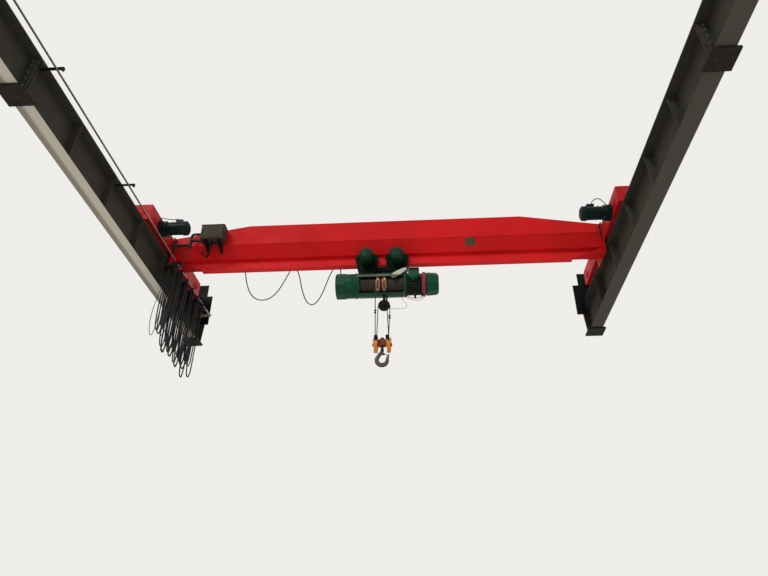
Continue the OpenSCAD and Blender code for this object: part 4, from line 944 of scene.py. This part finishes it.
class CRANE_OT_girder(bpy.types.Operator):
    """Weld beads, end plate bolts, the bare plate, axle keepers and wire brackets' bolts"""
    bl_idname = "crane.girder"
    bl_label = "Girder fittings"

    def execute(self, context):
        # Each seam runs from one x and height to another, at a distance from the middle plane
        flat_x, web_y, web_foot_z, top_z, end_top_z = 2.3, 0.2, 0.405, 0.7795, 0.5598
        slope_y, slope_z, beam_web_y, beam_foot_z = 0.0685, 0.2005, 0.0048, 0.0155
        seams = ((-END_X, web_foot_z, END_X, web_foot_z, web_y),
                 (-END_X, slope_z, END_X, slope_z, slope_y),
                 (-flat_x, top_z, flat_x, top_z, web_y),
                 (-flat_x, top_z, -END_X, end_top_z, web_y),
                 (flat_x, top_z, END_X, end_top_z, web_y),
                 (-END_X, beam_foot_z, END_X, beam_foot_z, beam_web_y))
        beads("girder_welds", [(girder(x0, side * y, z0), girder(x1, side * y, z1))
                               for side in BOTH for x0, z0, x1, z1, y in seams],
              0.0042, "bridge", "girder_red")
        lines, places = [], []
        for end in BOTH:
            x, inward = end * (END_X + 0.0003), (-end, 0, 0)
            for side in BOTH:
                edge = girder(x, side * web_y, web_foot_z)
                lines.append((edge, girder(x, side * web_y, end_top_z - 0.0048)))
                lines.append((girder(x, side * slope_y, slope_z), edge))
            places += [(girder(end * END_X, side * 0.236, 0.262 + 0.044 * i), inward, 0.040)
                       for side, i in product(BOTH, range(7))]
            places += [(girder(end * END_X, y, 0.050), inward, 0.026)
                       for y in (-0.135, -0.045, 0.045, 0.135)]
        beads("end_plate_welds", lines, 0.006, "bridge", "truck_red")
        bolts("end_plate_bolts", places, "bridge", "drum_steel")

        along = Vector((1, 0, 0))
        up = Vector((0, slope_y - web_y - 0.0005, web_foot_z - slope_z - 0.0005)).normalized()
        out = along.cross(up).normalized()
        centre = girder(1.445, -0.1545, 0.3345) + out * 0.0004
        turn = Matrix((along, up, out)).transposed().to_4x4()
        w, h, thick = 0.082, 0.066, 0.0022
        plate = extruded("bare_plate", [(-w, -h), (w, -h), (w, h), (-w, h)], thick,
                         Matrix.Translation(centre) @ turn, 0.0006)
        ridden(plate, "bridge", "plate_grey")
        bolts("bare_plate_rivets", [
            (centre + out * thick + along * (sx * 0.074) + up * (sy * 0.058), out, 0.008)
            for sx, sy in product(BOTH, BOTH)], "bridge")

        keepers, screws = [], []
        for x, face, wheel_y in product(RAILS_X, BOTH, (-1.0, 1.0)):
            hub = Vector((x + face * 0.1652, CRANE_Y + wheel_y, WHEEL_Z))
            keepers.append(turned("cap", hub, (face, 0, 0), [
                (0, 0.062), (0.009, 0.062), (0.012, 0.058), (0.0121, 0.034),
                (0.020, 0.032), (0.024, 0.026)]))
            screws += [(hub + Vector((face * 0.012, c, s)), (face, 0, 0), 0.015)
                       for c, s in on_circle(4, 0.047, 45)]
        fitted("axle_caps", keepers, "bridge", "truck_red")
        bolts("axle_cap_bolts", screws, "bridge")
        pads = [turned("buffer", (x, CRANE_Y + end * 1.2002, BUFFER_Z), (0, end, 0),
                       [(0, 0.075), (0.008, 0.075), (0.0085, 0.055), (0.009, 0.054)])
                for x, end in product(RAILS_X, BOTH)]
        fitted("truck_buffer_pads", pads, "bridge", "truck_red")

        bolts("festoon_bracket_bolts", [
            (girder(x + dx, 0.2345, 0.438), (0, 0, 1), 0.010)
            for x, dx in product((-2.728, -1.78, -0.712), (-0.008, 0.008))], "bridge")
        grips = []
        for x in (-2.70, -2.67, -0.74, -0.77):
            grips.append(slab("saddle", girder(x - 0.006, 0.324, 0.2935),
                              girder(x + 0.006, 0.336, 0.2965), 0.001))
            grips += [rod("leg", girder(x, 0.33 + dy, 0.288), girder(x, 0.33 + dy, 0.309),
                          0.0016, 8) for dy in (-0.0048, 0.0048)]
        fitted("wire_grips", grips, "bridge", "wire_steel")
        return {"FINISHED"}


# The leads of the two travel motors, from the lid to the gearbox, in millimetres
MOTOR_LEADS = {
    "right": (1, ((3300, -50.5, 128), (3300, -75, 129), (3310, -105, 150), (3360, -120, 185),
                  (3430, -100, 200), (3500, -50, 175), (3555, 0, 150), (3577.5, 50, 140),
                  (3577.5, 160, 135))),
    "left": (-1, ((3300, -50.5, 128), (3300, -80, 126), (3320, -110, 100), (3400, -135, 85),
                  (3480, -147, 95), (3543, -140, 115), (3573, -105, 132), (3577.5, -40, 140),
                  (3577.5, 50, 140), (3577.5, 160, 135))),
}


class CRANE_OT_drives(bpy.types.Operator):
    """Cowls, terminal boxes, flange bolts and cables of the two travel drives"""
    bl_idname = "crane.drives"
    bl_label = "Travel drives"

    def execute(self, context):
        axis_y, axis_z = middle("travel_motors").y - CRANE_Y, WHEEL_Z - GIRDER_Z
        face, cowl_end, lid_top = 3.455, 3.125, 0.1515

        def at(side, x, y, z):
            return girder(side * x, axis_y + y, axis_z + z)
        screws, cowls, lids, eyes = [], [], [], []
        for side in BOTH:
            inward = (-side, 0, 0)
            screws += [(at(side, face + 0.020, c, s), inward, 0.013)
                       for c, s in on_circle(8, 0.116, 22.5)]
            screws += [(at(side, 3.4949, y, z), inward, 0.020)
                       for y, z in product((-0.13, 0.13), (-0.03, 0.03))]
            for k in range(6):
                z = -0.055 + 0.022 * k
                half = math.sqrt(0.070 ** 2 - z * z)
                cowls.append(slab("slat", at(side, cowl_end - 0.0035, -half, z - 0.004),
                                  at(side, cowl_end, half, z + 0.004), 0.001))
            cowls.append(turned("fan_cowl", at(side, cowl_end - 0.0005, 0, 0), (side, 0, 0), [
                (0, 0.088), (0.020, 0.115), (0.084, 0.119), (0.092, 0.108)], 40))
            cowls.append(ring("flange_band", at(side, 3.4355, 0, 0), (1, 0, 0), 0.1045, 0.004,
                              48, 8))
            lids.append(slab("lid", at(side, 3.232, -0.050, 0.1441),
                             at(side, 3.354, 0.050, lid_top)))
            screws += [(at(side, x, y, lid_top), (0, 0, 1), 0.008)
                       for x, y in product((3.240, 3.346), (-0.042, 0.042))]
            eyes.append(ring("eye", at(side, 3.415, 0, 0.126), (0, 1, 0), 0.015, 0.0045, 24, 8))
            eyes.append(rod("eye_foot", at(side, 3.415, 0, 0.100), at(side, 3.415, 0, 0.113),
                            0.008, 16))
        fitted("motor_cowls", cowls, "bridge", "drive_blue")
        fitted("motor_lids", lids, "bridge", "drive_blue")
        fitted("motor_eyes", eyes, "bridge", "bolt_steel")
        bolts("drive_bolts", screws, "bridge")
        for name, (side, points) in MOTOR_LEADS.items():
            free_wire("motor_lead_" + name, [at(side, *point) for point in metres(points)],
                      0.014, "bridge")
        return {"FINISHED"}


class CRANE_OT_control_box(bpy.types.Operator):
    """Door, hinges, lock, glands and conduits of the control box"""
    bl_idname = "crane.control_box"
    bl_label = "Control box"

    def execute(self, context):
        lowest, highest = low("control_box"), high("control_box")
        x0, x1 = lowest.x + 0.008, highest.x - 0.008
        z0, z1 = lowest.z, highest.z - 0.003
        front, mid_z = lowest.y + 0.008, (z0 + z1) / 2
        door = [slab("leaf", (x0 + 0.022, front - 0.003, z0 + 0.022),
                     (x1 - 0.022, front + 0.001, z1 - 0.024), 0.0012)]
        door += [slab("rib", (x0 + 0.040, front - 0.0048, z),
                      (x1 - 0.040, front - 0.0025, z + 0.006), 0.0008)
                 for z in (z1 - 0.050, z0 + 0.044)]
        fitted("door", door, "bridge", "box_brown")
        metal = [rod("hinge", (x0 + 0.018, front - 0.003, z - 0.020),
                     (x0 + 0.018, front - 0.003, z + 0.020), 0.006, 16)
                 for z in (z0 + 0.055, z1 - 0.065)]
        metal.append(turned("lock", (x1 - 0.040, front - 0.0029, mid_z), (0, -1, 0), [
            (0, 0.014), (0.005, 0.014), (0.007, 0.012), (0.0071, 0.006), (0.011, 0.0055)], 24))
        metal.append(slab("lever", (x1 - 0.046, front - 0.016, mid_z - 0.032),
                          (x1 - 0.034, front - 0.011, mid_z + 0.008)))
        fitted("box_fittings", metal, "bridge", "drum_steel")
        glands = [turned("gland", (x, front + 0.115, z0 + 0.0002), (0, 0, -1), [
            (0, 0.017), (0.008, 0.017), (0.009, 0.014), (0.020, 0.013), (0.024, 0.009)], 12)
            for x in (x0 + 0.21, x0 + 0.26, x1 - 0.055)]
        fitted("box_glands", glands, "bridge", "cable_black")

        # The post's foot is the place that the conduits are measured from
        px, py = MID_X - 3.25, CRANE_Y - 0.3225
        box_x, arm_z, pipe_z = MID_X - 3.0642, GIRDER_Z + 0.339, GIRDER_Z + 0.559
        bend = through([(px, py, pipe_z - 0.142), (px, py, pipe_z - 0.057),
                        (px + 0.012, py, pipe_z - 0.017), (px + 0.045, py, pipe_z),
                        (px + 0.10, py, pipe_z), (MID_X - 3.0645, py, pipe_z)], 8)
        pipes = [
            tube("bend", bend, 0.0205, 16),
            turned("coupling", (box_x, py, pipe_z), (-1, 0, 0),
                   [(0, 0.029), (0.010, 0.029), (0.011, 0.025), (0.030, 0.0225)], 16),
            turned("hose", (px, py, GIRDER_Z + 0.292), (0, 0, 1),
                   [(0, 0.022), (0.004, 0.0255), (0.158, 0.0280), (0.162, 0.025)], 24),
            turned("sleeve", (box_x, py, GIRDER_Z + 0.429), (-1, 0, 0),
                   [(0, 0.030), (0.010, 0.030), (0.011, 0.025), (0.164, 0.025)], 20),
            turned("arm_sleeve", (px - 0.026, py, arm_z), (-1, 0, 0),
                   [(0, 0.022), (0.002, 0.0240), (0.250, 0.0240), (0.252, 0.022)], 20),
            stud("post_foot", (px, py, GIRDER_Z + 0.279), (0, 0, -1), 0.018, 0.010, 0.013,
                 0.0125, 20)]
        fitted("conduits", pipes, "bridge", "cable_black")
        for k, (a, b, depth) in enumerate(((-0.275, -0.150, 0.150), (-0.190, -0.050, 0.190))):
            loop = ((a, -0.024, 0.010), (a - 0.004, -0.030, -0.030),
                    (a + 0.004, -0.034, -0.6 * depth), ((a + b) / 2, -0.036, -depth),
                    (b - 0.004, -0.034, -0.6 * depth), (b + 0.004, -0.030, -0.030),
                    (b, -0.024, 0.010))
            free_wire("arm_cable_%d" % (k + 1), [(px + x, py + y, arm_z + z) for x, y, z in loop],
                      0.014, "bridge")
        knee = (MID_X - 2.925, py, GIRDER_Z + 0.080)
        strut = [rod("leg", (MID_X - 2.872, py, z0 + 0.001), knee, 0.017, 12),
                 rod("leg", knee, girder(-3.110, -0.126, 0.315), 0.014, 12)]
        fitted("box_strut", strut, "bridge", "stop_black")
        return {"FINISHED"}


TROLLEY_UNITS = (-0.2485, 0.2485)


class CRANE_OT_trolley(bpy.types.Operator):
    """Pin heads, nuts, bolts, and the drive motors' cowls, fins and terminal boxes"""
    bl_idname = "crane.trolley"
    bl_label = "Trolley fittings"

    def execute(self, context):
        wheel_z = middle("trolley_wheels_1").z - HOIST_Z
        beam_z, motor_z = GIRDER_Z - HOIST_Z, wheel_z - 0.040
        nuts, caps = [], []
        for unit, side in product(TROLLEY_UNITS, BOTH):
            outward = (0, side, 0)
            caps += [turned("pin", hoist(unit + dx, side * 0.1079, wheel_z), outward,
                            [(0, 0.017), (0.006, 0.016), (0.009, 0.011)], 20)
                     for dx in (-0.106, 0.106)]
            caps.append(stud("nut", hoist(unit, side * 0.0986, beam_z - 0.09), outward,
                             0.036, 0.018, 0.021, 0.033))
            nuts += [(hoist(unit + dx, side * 0.0962, beam_z + dz), outward, 0.018)
                     for dx, dz in product((-0.075, 0.075), (-0.125, -0.055))]
        fitted("trolley_nuts", caps, "trolley", "trolley_green")
        bolts("trolley_bolts", nuts, "trolley", "trolley_green")

        cowls, screws = [], []
        for unit in TROLLEY_UNITS:
            cowls += [ring("band", hoist(unit, -y, motor_z), (0, 1, 0), radius, thick, 48, 8)
                      for y, radius, thick in ((0.252, 0.1085, 0.004), (0.3035, 0.1135, 0.0035))]
            for c, s in on_circle(9, 0.1075):
                cowls.append(rod("fin", hoist(unit + c, -0.165, motor_z + s),
                                 hoist(unit + c, -0.245, motor_z + s), 0.0042, 8))
            screws += [(hoist(unit + c, -0.3235, motor_z + s), (0, -1, 0), 0.012)
                       for c, s in on_circle(6, 0.094, 30)]
            cowls.append(slab("terminal", hoist(unit - 0.045, -0.235, motor_z + 0.096),
                              hoist(unit + 0.045, -0.155, motor_z + 0.128), 0.004))
        fitted("trolley_motor_cowls", cowls, "trolley", "dome_green")
        bolts("trolley_motor_screws", screws, "trolley", "dome_green")
        return {"FINISHED"}


# Wires that hang under the hoist's motor: finish, width, far end, depth, and places in millimetres
HOIST_WIRES = {
    "motor_cable": ("cable_black", 0.010, "object", -0.09, (
        (385, -190), (395, -235), (425, -275), (460, -297), (534, -311), (610, -305),
        (655, -270), (668, -215))),
    "red_slack": ("wire_red", 0.008, "object", -0.12, (
        (352, -186), (352, -240), (375, -296), (430, -330), (499, -357), (560, -372),
        (611, -370), (660, -335), (690, -280), (690, -190))),
    "hanging_wire": ("cable_black", 0.006, "bare", -0.06, (
        (317, -190), (317, -260), (330, -320), (370, -365), (393, -410), (385, -450),
        (340, -478), (255, -480), (165, -473))),
}
STRIP_END = ((154, 29), (176, 13), (232, 27), (311, 83), (407, 169), (412, 199), (355, 195),
             (267, 155), (197, 115), (154, 69))


class CRANE_OT_hoist(bpy.types.Operator):
    """Flange bolts, ribs, the terminal dome's ring, the red wires and the dressed drum"""
    bl_idname = "crane.hoist"
    bl_label = "Hoist fittings"

    def execute(self, context):
        along = Vector((1, 0, 0))
        screws = [(hoist(x, c, s), (toward, 0, 0), size)
                  for x, toward, count, radius, start, size in (
                      (SHELL_LEFT + 0.0142, 1, 16, 0.2065, 11.25, 0.009),
                      (SHELL_RIGHT - 0.0142, -1, 16, 0.2065, 11.25, 0.009),
                      (SHELL_LEFT - 0.3232, -1, 8, 0.176, 0, 0.013),
                      (SHELL_LEFT - 0.3352, -1, 6, 0.088, 0, 0.011),
                      (SHELL_RIGHT + 0.018, 1, 8, 0.1865, 22.5, 0.010))
                  for c, s in on_circle(count, radius, start)]
        bolts("hoist_bolts", screws, "trolley")

        trim = []
        for angle in (69, -69, 158, -158):
            y, z = -0.2015 * math.sin(math.radians(angle)), 0.2015 * math.cos(math.radians(angle))
            trim.append(rod("edge", hoist(SHELL_LEFT + 0.058, y, z),
                            hoist(SHELL_RIGHT - 0.038, y, z), 0.0052, 10))
        trim += [ring("seam", hoist(x, 0, 0), along, 0.2035, 0.0035, 64, 8)
                 for x in (SHELL_LEFT + 0.028, SHELL_RIGHT - 0.026)]
        trim.append(turned("gear_barrel", hoist(-0.603, 0, 0), along, [
            (0, 0.186), (0.008, 0.198), (0.020, 0.203), (0.150, 0.203), (0.158, 0.198),
            (0.160, 0.186)], 48))
        trim.append(turned("gear_sump", hoist(-0.500, 0, -0.155), along, [
            (0, 0.040), (0.006, 0.052), (0.014, 0.058), (0.050, 0.058), (0.058, 0.052),
            (0.062, 0.040)]))
        trim += [ring("lug", hoist(SHELL_LEFT + x, 0, z), along, 0.020, 0.006, 24, 8)
                 for x, z in ((-0.12, 0.198), (0.90, 0.188))]
        fitted("hoist_trim", trim, "trolley", "hoist_green")

        dome, lean = hoist(SHELL_RIGHT + 0.121, 0, 0), math.radians(71)
        tilt = Vector((0, -math.sin(lean), math.cos(lean)))
        other = tilt.cross(along)
        gland = dome + tilt * 0.202
        parts = [ring("dome_ring", dome + tilt * 0.1925, tilt, 0.0915, 0.0032, 40, 8),
                 turned("dome_gland", gland + along * 0.0915, along,
                        [(0, 0.016), (0.010, 0.016), (0.011, 0.012), (0.030, 0.011)], 12)]
        fitted("dome_trim", parts, "trolley", "hoist_green")
        bolts("dome_screws", [(dome + tilt * 0.2425 + along * c + other * s, tilt, 0.010)
                              for c, s in on_circle(4, 0.070, 45)], "trolley")

        def motor_part(name, x0, x1, y0, y1, z0, z1, bevel):
            return slab(name, hoist(SHELL_RIGHT + x0, y0, z0), hoist(SHELL_RIGHT + x1, y1, z1),
                        bevel)
        feet = [motor_part("foot", 0.121, 0.156, -0.075, 0.075, -0.222, -0.140, 0.005),
                motor_part("foot", 0.236, 0.264, -0.055, 0.055, -0.204, -0.140, 0.005)]
        fitted("motor_feet", feet, "trolley", "motor_dark")
        case = [motor_part("case", 0.045, 0.205, -0.130, 0.060, 0.120, 0.236, 0.006),
                motor_part("lid", 0.039, 0.211, -0.136, 0.066, 0.236, 0.246, 0.003)]
        fitted("motor_case", case, "trolley", "motor_dark")

        # Four loose turns round the motor, each a little apart from the last and not quite round
        start_x, a_turn = SHELL_RIGHT + 0.258, 28
        gland_end = gland + along * 0.1200
        coil = [gland_end, gland_end + Vector((0.030, 0.002, 0.002)),
                hoist(start_x - 0.030, -0.200, 0.040)]
        for k in range(4 * a_turn + 1):
            angle = 2 * math.pi * k / a_turn
            wander = 0.004 * math.sin(3 * angle + 0.4)
            r = 0.1965 + 0.002 * math.sin(2.3 * angle)
            coil.append(hoist(start_x + 0.0138 * k / a_turn + wander,
                              -r * math.cos(angle), -r * math.sin(angle)))
        free_wire("red_wires", coil, 0.0116, "trolley", "wire_red", steps=2)
        for name, (material, width, far_end, y, points) in HOIST_WIRES.items():
            free_wire(name, [hoist(x, y if z < -0.20 else y * 0.8, z) for x, z in metres(points)],
                      width, "trolley", material)

        # The strip's twisted end: pale, with a painted highlight in its colour
        plate = extruded("strip_end", metres(STRIP_END), 0.004,
                         Matrix.Translation(hoist(0, -0.2075, 0))
                         @ Matrix.Rotation(math.pi / 2, 4, "X"), 0.001)
        ridden(plate, "trolley", "plate_pale_painted_highlight")

        springs, r = [], DRUM_R + 0.026
        for x, (half, sweep) in product((-0.065, 0.040), ((0.031, 0.66), (0.016, 0.58))):
            points = []
            for k in range(41):
                turn = 2 * math.pi * k / 40
                angle = 1.98 + sweep * math.cos(turn)
                points.append(hoist(x + half * math.sin(turn), -r * math.sin(angle),
                                    r * math.cos(angle)))
            springs.append(tube("loop", points, 0.0034, 8))
        fitted("guide_springs", springs, "trolley", "copper")

        rim, groove, bore = DRUM_R - 0.001, DRUM_R - 0.0115, 0.0358
        core = turned("drum_core", hoist(SHELL_LEFT - 0.022, 0, 0), along, [
            (0, 0.0355), (0.0400, bore), (0.0401, rim), (0.052, rim), (0.0525, groove),
            (0.8115, groove), (0.812, rim), (0.8239, rim), (0.8240, bore), (0.864, 0.0355)], 64)
        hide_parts("rope_drum")
        ridden(core, "drum", "drum_steel")
        pitch, around, r = 0.0142, 22, DRUM_R - 0.0064
        first, winds = SHELL_LEFT + 0.038, int(0.744 / pitch)
        coil = [hoist(first + pitch * k / around, -r * math.sin(2 * math.pi * k / around),
                      r * math.cos(2 * math.pi * k / around)) for k in range(winds * around + 1)]
        ridden(tube("rope_on_drum", coil, 0.0062, 8), "drum", "rope_steel")
        return {"FINISHED"}


class CRANE_OT_ropes(bpy.types.Operator):
    """The four falls as laid rope, their clamps and the balance sheave's rim"""
    bl_idname = "crane.ropes"
    bl_label = "Ropes"

    def execute(self, context):
        drop, block_x = HOIST_Z - BLOCK_Z, BLOCK_X - HOIST_X
        sheave_y, rope_r = 0.1009, 0.0078
        balance_x, balance_z, balance_half = 0.031, -0.378, 0.0968
        tops = [(-0.102, -0.165, 0), (balance_x - balance_half, 0, balance_z),
                (balance_x + balance_half, 0, balance_z), (0.070, 0.050, -0.2437)]
        feet = [(block_x + s * SHEAVE_X, t * sheave_y, -drop) for s, t in product(BOTH, BOTH)]
        falls = joined("laid_falls", [laid_rope("fall", hoist(*top), hoist(*foot), rope_r)
                                      for top, foot in zip(tops, feet)])
        dressed(falls, "rope_steel")
        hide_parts("rope_falls")
        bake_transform(falls)
        for i, z in ((0, -0.561), (2, -0.609)):
            top, foot = Vector(tops[i]), Vector(feet[i])
            at = top + (foot - top) * ((z - top.z) / (foot.z - top.z))
            clamps = []
            for dz in (-0.020, 0.020):
                clamps.append(slab("saddle", hoist(at.x - 0.017, at.y - 0.017, at.z + dz - 0.009),
                                   hoist(at.x + 0.017, at.y + 0.011, at.z + dz + 0.009), 0.003))
                clamps += [stud("nut", hoist(at.x + dx, at.y - 0.0168, at.z + dz), (0, -1, 0),
                                0.0072, 0.007, 0.008, 0.006) for dx in (-0.012, 0.012)]
            clamps = dressed(joined("rope_clamps_%d" % (i + 1), clamps), "drum_steel")
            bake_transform(clamps)

        wheel, centre = [], hoist(balance_x, 0, balance_z)
        for side in BOTH:
            wheel.append(ring("rim", centre + Vector((0, side * 0.0195, 0)), (0, 1, 0), 0.0895,
                              0.0045, 56, 8))
            wheel.append(turned("hub", centre + Vector((0, side * 0.0401, 0)), (0, side, 0),
                                [(0, 0.026), (0.008, 0.025), (0.010, 0.016)], 24))
        fitted("balance_trim", wheel, "trolley", "stop_black")
        return {"FINISHED"}


COVER_TOP, COVER_HALF, COVER_TAPER = 0.119, 0.0382, 0.0645


def cover_half(z):
    """Half a sheave cover's width at a height: it narrows from its top to its nose."""
    return COVER_HALF - COVER_TAPER * (COVER_TOP - z)


def tapered_cover(centre):
    """A drop-shaped cover round a sheave, open above and bored for the axle."""
    big, small, depth, width = COVER_TOP, 0.024, 0.115, 2 * COVER_HALF
    open_above, wall, axle, bore_half = 0.02, 0.003, 0.0223, 0.05
    lean = math.asin((big - small) / depth)
    wide = [-lean + (math.pi + 2 * lean) * k / 32 for k in range(33)]
    nose = [math.pi + lean + (math.pi - 2 * lean) * k / 8 for k in range(9)]
    outline = [(big * math.cos(a), big * math.sin(a)) for a in wide]
    outline += [(small * math.cos(a), small * math.sin(a) - depth) for a in nose]
    across = Matrix(((0, 0, 1, 0), (1, 0, 0, 0), (0, 1, 0, 0), (0, 0, 0, 1)))
    cover = extruded("cover", outline, width, across)
    for vertex in cover.data.vertices:
        vertex.co.x = (vertex.co.x - width / 2) * cover_half(vertex.co.z) / (width / 2)
    bpy.ops.object.mode_set(mode="EDIT")
    bpy.ops.mesh.select_mode(type="FACE")
    bpy.ops.mesh.select_all(action="DESELECT")
    bpy.ops.object.mode_set(mode="OBJECT")
    for face in cover.data.polygons:
        face.select = abs(face.normal.x) < 0.5 and face.center.z > open_above
    bpy.ops.object.mode_set(mode="EDIT")
    bpy.ops.mesh.delete(type="FACE")
    bpy.ops.object.mode_set(mode="OBJECT")
    modified(cover, "SOLIDIFY", thickness=wall, offset=-1)
    bore = rod("bore", (-bore_half, 0, 0), (bore_half, 0, 0), axle, 32)
    modified(picked(cover), "BOOLEAN", object=bore, operation="DIFFERENCE", solver="EXACT")
    bpy.data.objects.remove(bore)
    cover.data.transform(Matrix.Translation(centre))
    return smooth(cover, 40)


def forged_skin(node):
    """The solid's own shape as one smooth skin, its facets blended away."""
    voxel, passes, kept_share = 0.0022, 24, 0.35
    skin = picked(copied(NODES[node], Matrix.Identity(4)))
    skin.name = node + "_skin"
    modified(skin, "REMESH", mode="VOXEL", voxel_size=voxel)
    modified(skin, "SMOOTH", factor=0.5, iterations=passes)
    modified(skin, "DECIMATE", ratio=kept_share)
    return smooth(skin, 60)


class CRANE_OT_hook_block(bpy.types.Operator):
    """Rope guards, axle nuts, cover bolts, the hook's nut and the latch's spring"""
    bl_idname = "crane.hook_block"
    bl_label = "Hook block fittings"

    def execute(self, context):
        up = (0, 0, 1)
        guards = [slab("guard", block(x - 0.028, y - 0.015, 0.045),
                       block(x + 0.028, y + 0.015, 0.118), 0.009)
                  for x, y in product((0.009 - SHEAVE_X, SHEAVE_X - 0.015), (-0.111, 0.111))]
        fitted("rope_guards", guards, "hook_block", "stop_black")
        covers = joined("tapered_covers", [tapered_cover(block(side * SHEAVE_X, 0, 0))
                                           for side in BOTH])
        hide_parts("block_covers")
        ridden(covers, "hook_block", "block_orange")
        nuts = [turned("axle_nut", block(side * 0.1352, 0, 0), (side, 0, 0), [
            (0, 0.030), (0.005, 0.030), (0.0051, 0.025), (0.016, 0.025), (0.019, 0.021)], 6)
            for side in BOTH]
        fitted("axle_nuts", nuts, "hook_block", "block_brown")
        bolts("cover_bolts", [
            (block(side * SHEAVE_X + face * (cover_half(z) - 0.0002), y, z), (face, 0, 0), 0.013)
            for side, face, (y, z) in product(
                BOTH, BOTH, ((-0.078, 0.0), (0.078, 0.0), (0, -0.085), (0, -0.119)))],
            "hook_block", "block_brown")
        seats = [turned("thrust_seat", block(0, 0, 0.0741), up, [(0, 0.041), (0.0001, 0.0409)])]
        seats += [slab("keeper", block(x - 0.006, -0.046, 0.020), block(x + 0.006, -0.0438, 0.060),
                       0.0008) for x in (-0.036, 0.036)]
        fitted("crosshead_trim", seats, "hook_block", "block_brown")

        neck = [turned("nut_dome", block(0, 0, 0.1082), up,
                       [(0, 0.030), (0.006, 0.027), (0.012, 0.015)], 24),
                rod("split_pin", block(-0.046, 0, 0.092), block(0.046, 0, 0.092), 0.0035, 10),
                stud("collar", block(0, 0, -0.104), up, 0.0285, 0.010, 0.014, 0.0242, 32)]
        fitted("hook_trim", neck, "hook", "hook_steel")
        skin = forged_skin("hook")
        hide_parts("hook")
        ridden(skin, "hook", "hook_steel")
        hub = block(0.030, 0, -0.158)
        coil = [hub + Vector((0.0098 * math.cos(0.5 * k), -0.009 + 0.018 * k / 50,
                              0.0098 * math.sin(0.5 * k))) for k in range(51)]
        ridden(tube("latch_spring", coil, 0.0012, 6), "latch", "bolt_steel")
        heads = [turned("pin_head", hub + Vector((0, side * 0.0238, 0)), (0, side, 0),
                        [(0, 0.0072), (0.003, 0.0068), (0.004, 0.004)], 16) for side in BOTH]
        fitted("latch_pin_heads", heads, "latch", "bolt_steel")
        return {"FINISHED"}


class CRANE_OT_finishes(bpy.types.Operator):
    """Paint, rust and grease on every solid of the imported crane"""
    bl_idname = "crane.finishes"
    bl_label = "Finishes"

    def execute(self, context):
        make_materials()
        for material, names in NODE_FINISH.items():
            for name in names.split():
                give(NODES[name], material)
        return {"FINISHED"}


class CRANE_PT_panel(bpy.types.Panel):
    """Shows the crane's settings and a button for each step"""
    bl_label = "Bridge crane"
    bl_idname = "CRANE_PT_panel"
    bl_space_type = "VIEW_3D"
    bl_region_type = "UI"
    bl_category = "Crane"

    def draw(self, context):
        for group in (context.scene.crane_stage, context.scene.crane_paint,
                      context.scene.crane_cable):
            box = self.layout.box()
            for name in group.__annotations__:
                box.prop(group, name)
        for step in STEPS:
            self.layout.operator(step)


STEPS = ("crane.stage", "crane.finishes", "crane.festoons", "crane.runway", "crane.girder",
         "crane.drives", "crane.control_box", "crane.trolley", "crane.hoist", "crane.ropes",
         "crane.hook_block")
CLASSES = (CraneStageSettings, CranePaintSettings, CraneCableSettings, CRANE_OT_stage,
           CRANE_OT_finishes, CRANE_OT_festoons, CRANE_OT_runway, CRANE_OT_girder, CRANE_OT_drives,
           CRANE_OT_control_box, CRANE_OT_trolley, CRANE_OT_hoist, CRANE_OT_ropes,
           CRANE_OT_hook_block, CRANE_PT_panel)


def register():
    for cls in CLASSES:
        bpy.utils.register_class(cls)
    bpy.types.Scene.crane_stage = PointerProperty(type=CraneStageSettings)
    bpy.types.Scene.crane_paint = PointerProperty(type=CranePaintSettings)
    bpy.types.Scene.crane_cable = PointerProperty(type=CraneCableSettings)


def unregister():
    del bpy.types.Scene.crane_stage, bpy.types.Scene.crane_paint, bpy.types.Scene.crane_cable
    for cls in reversed(CLASSES):
        bpy.utils.unregister_class(cls)


def main():
    register()
    for step in STEPS:
        group, name = step.split(".")
        getattr(getattr(bpy.ops, group), name)()
    clear_selection()


if __name__ == "__main__":
    main()
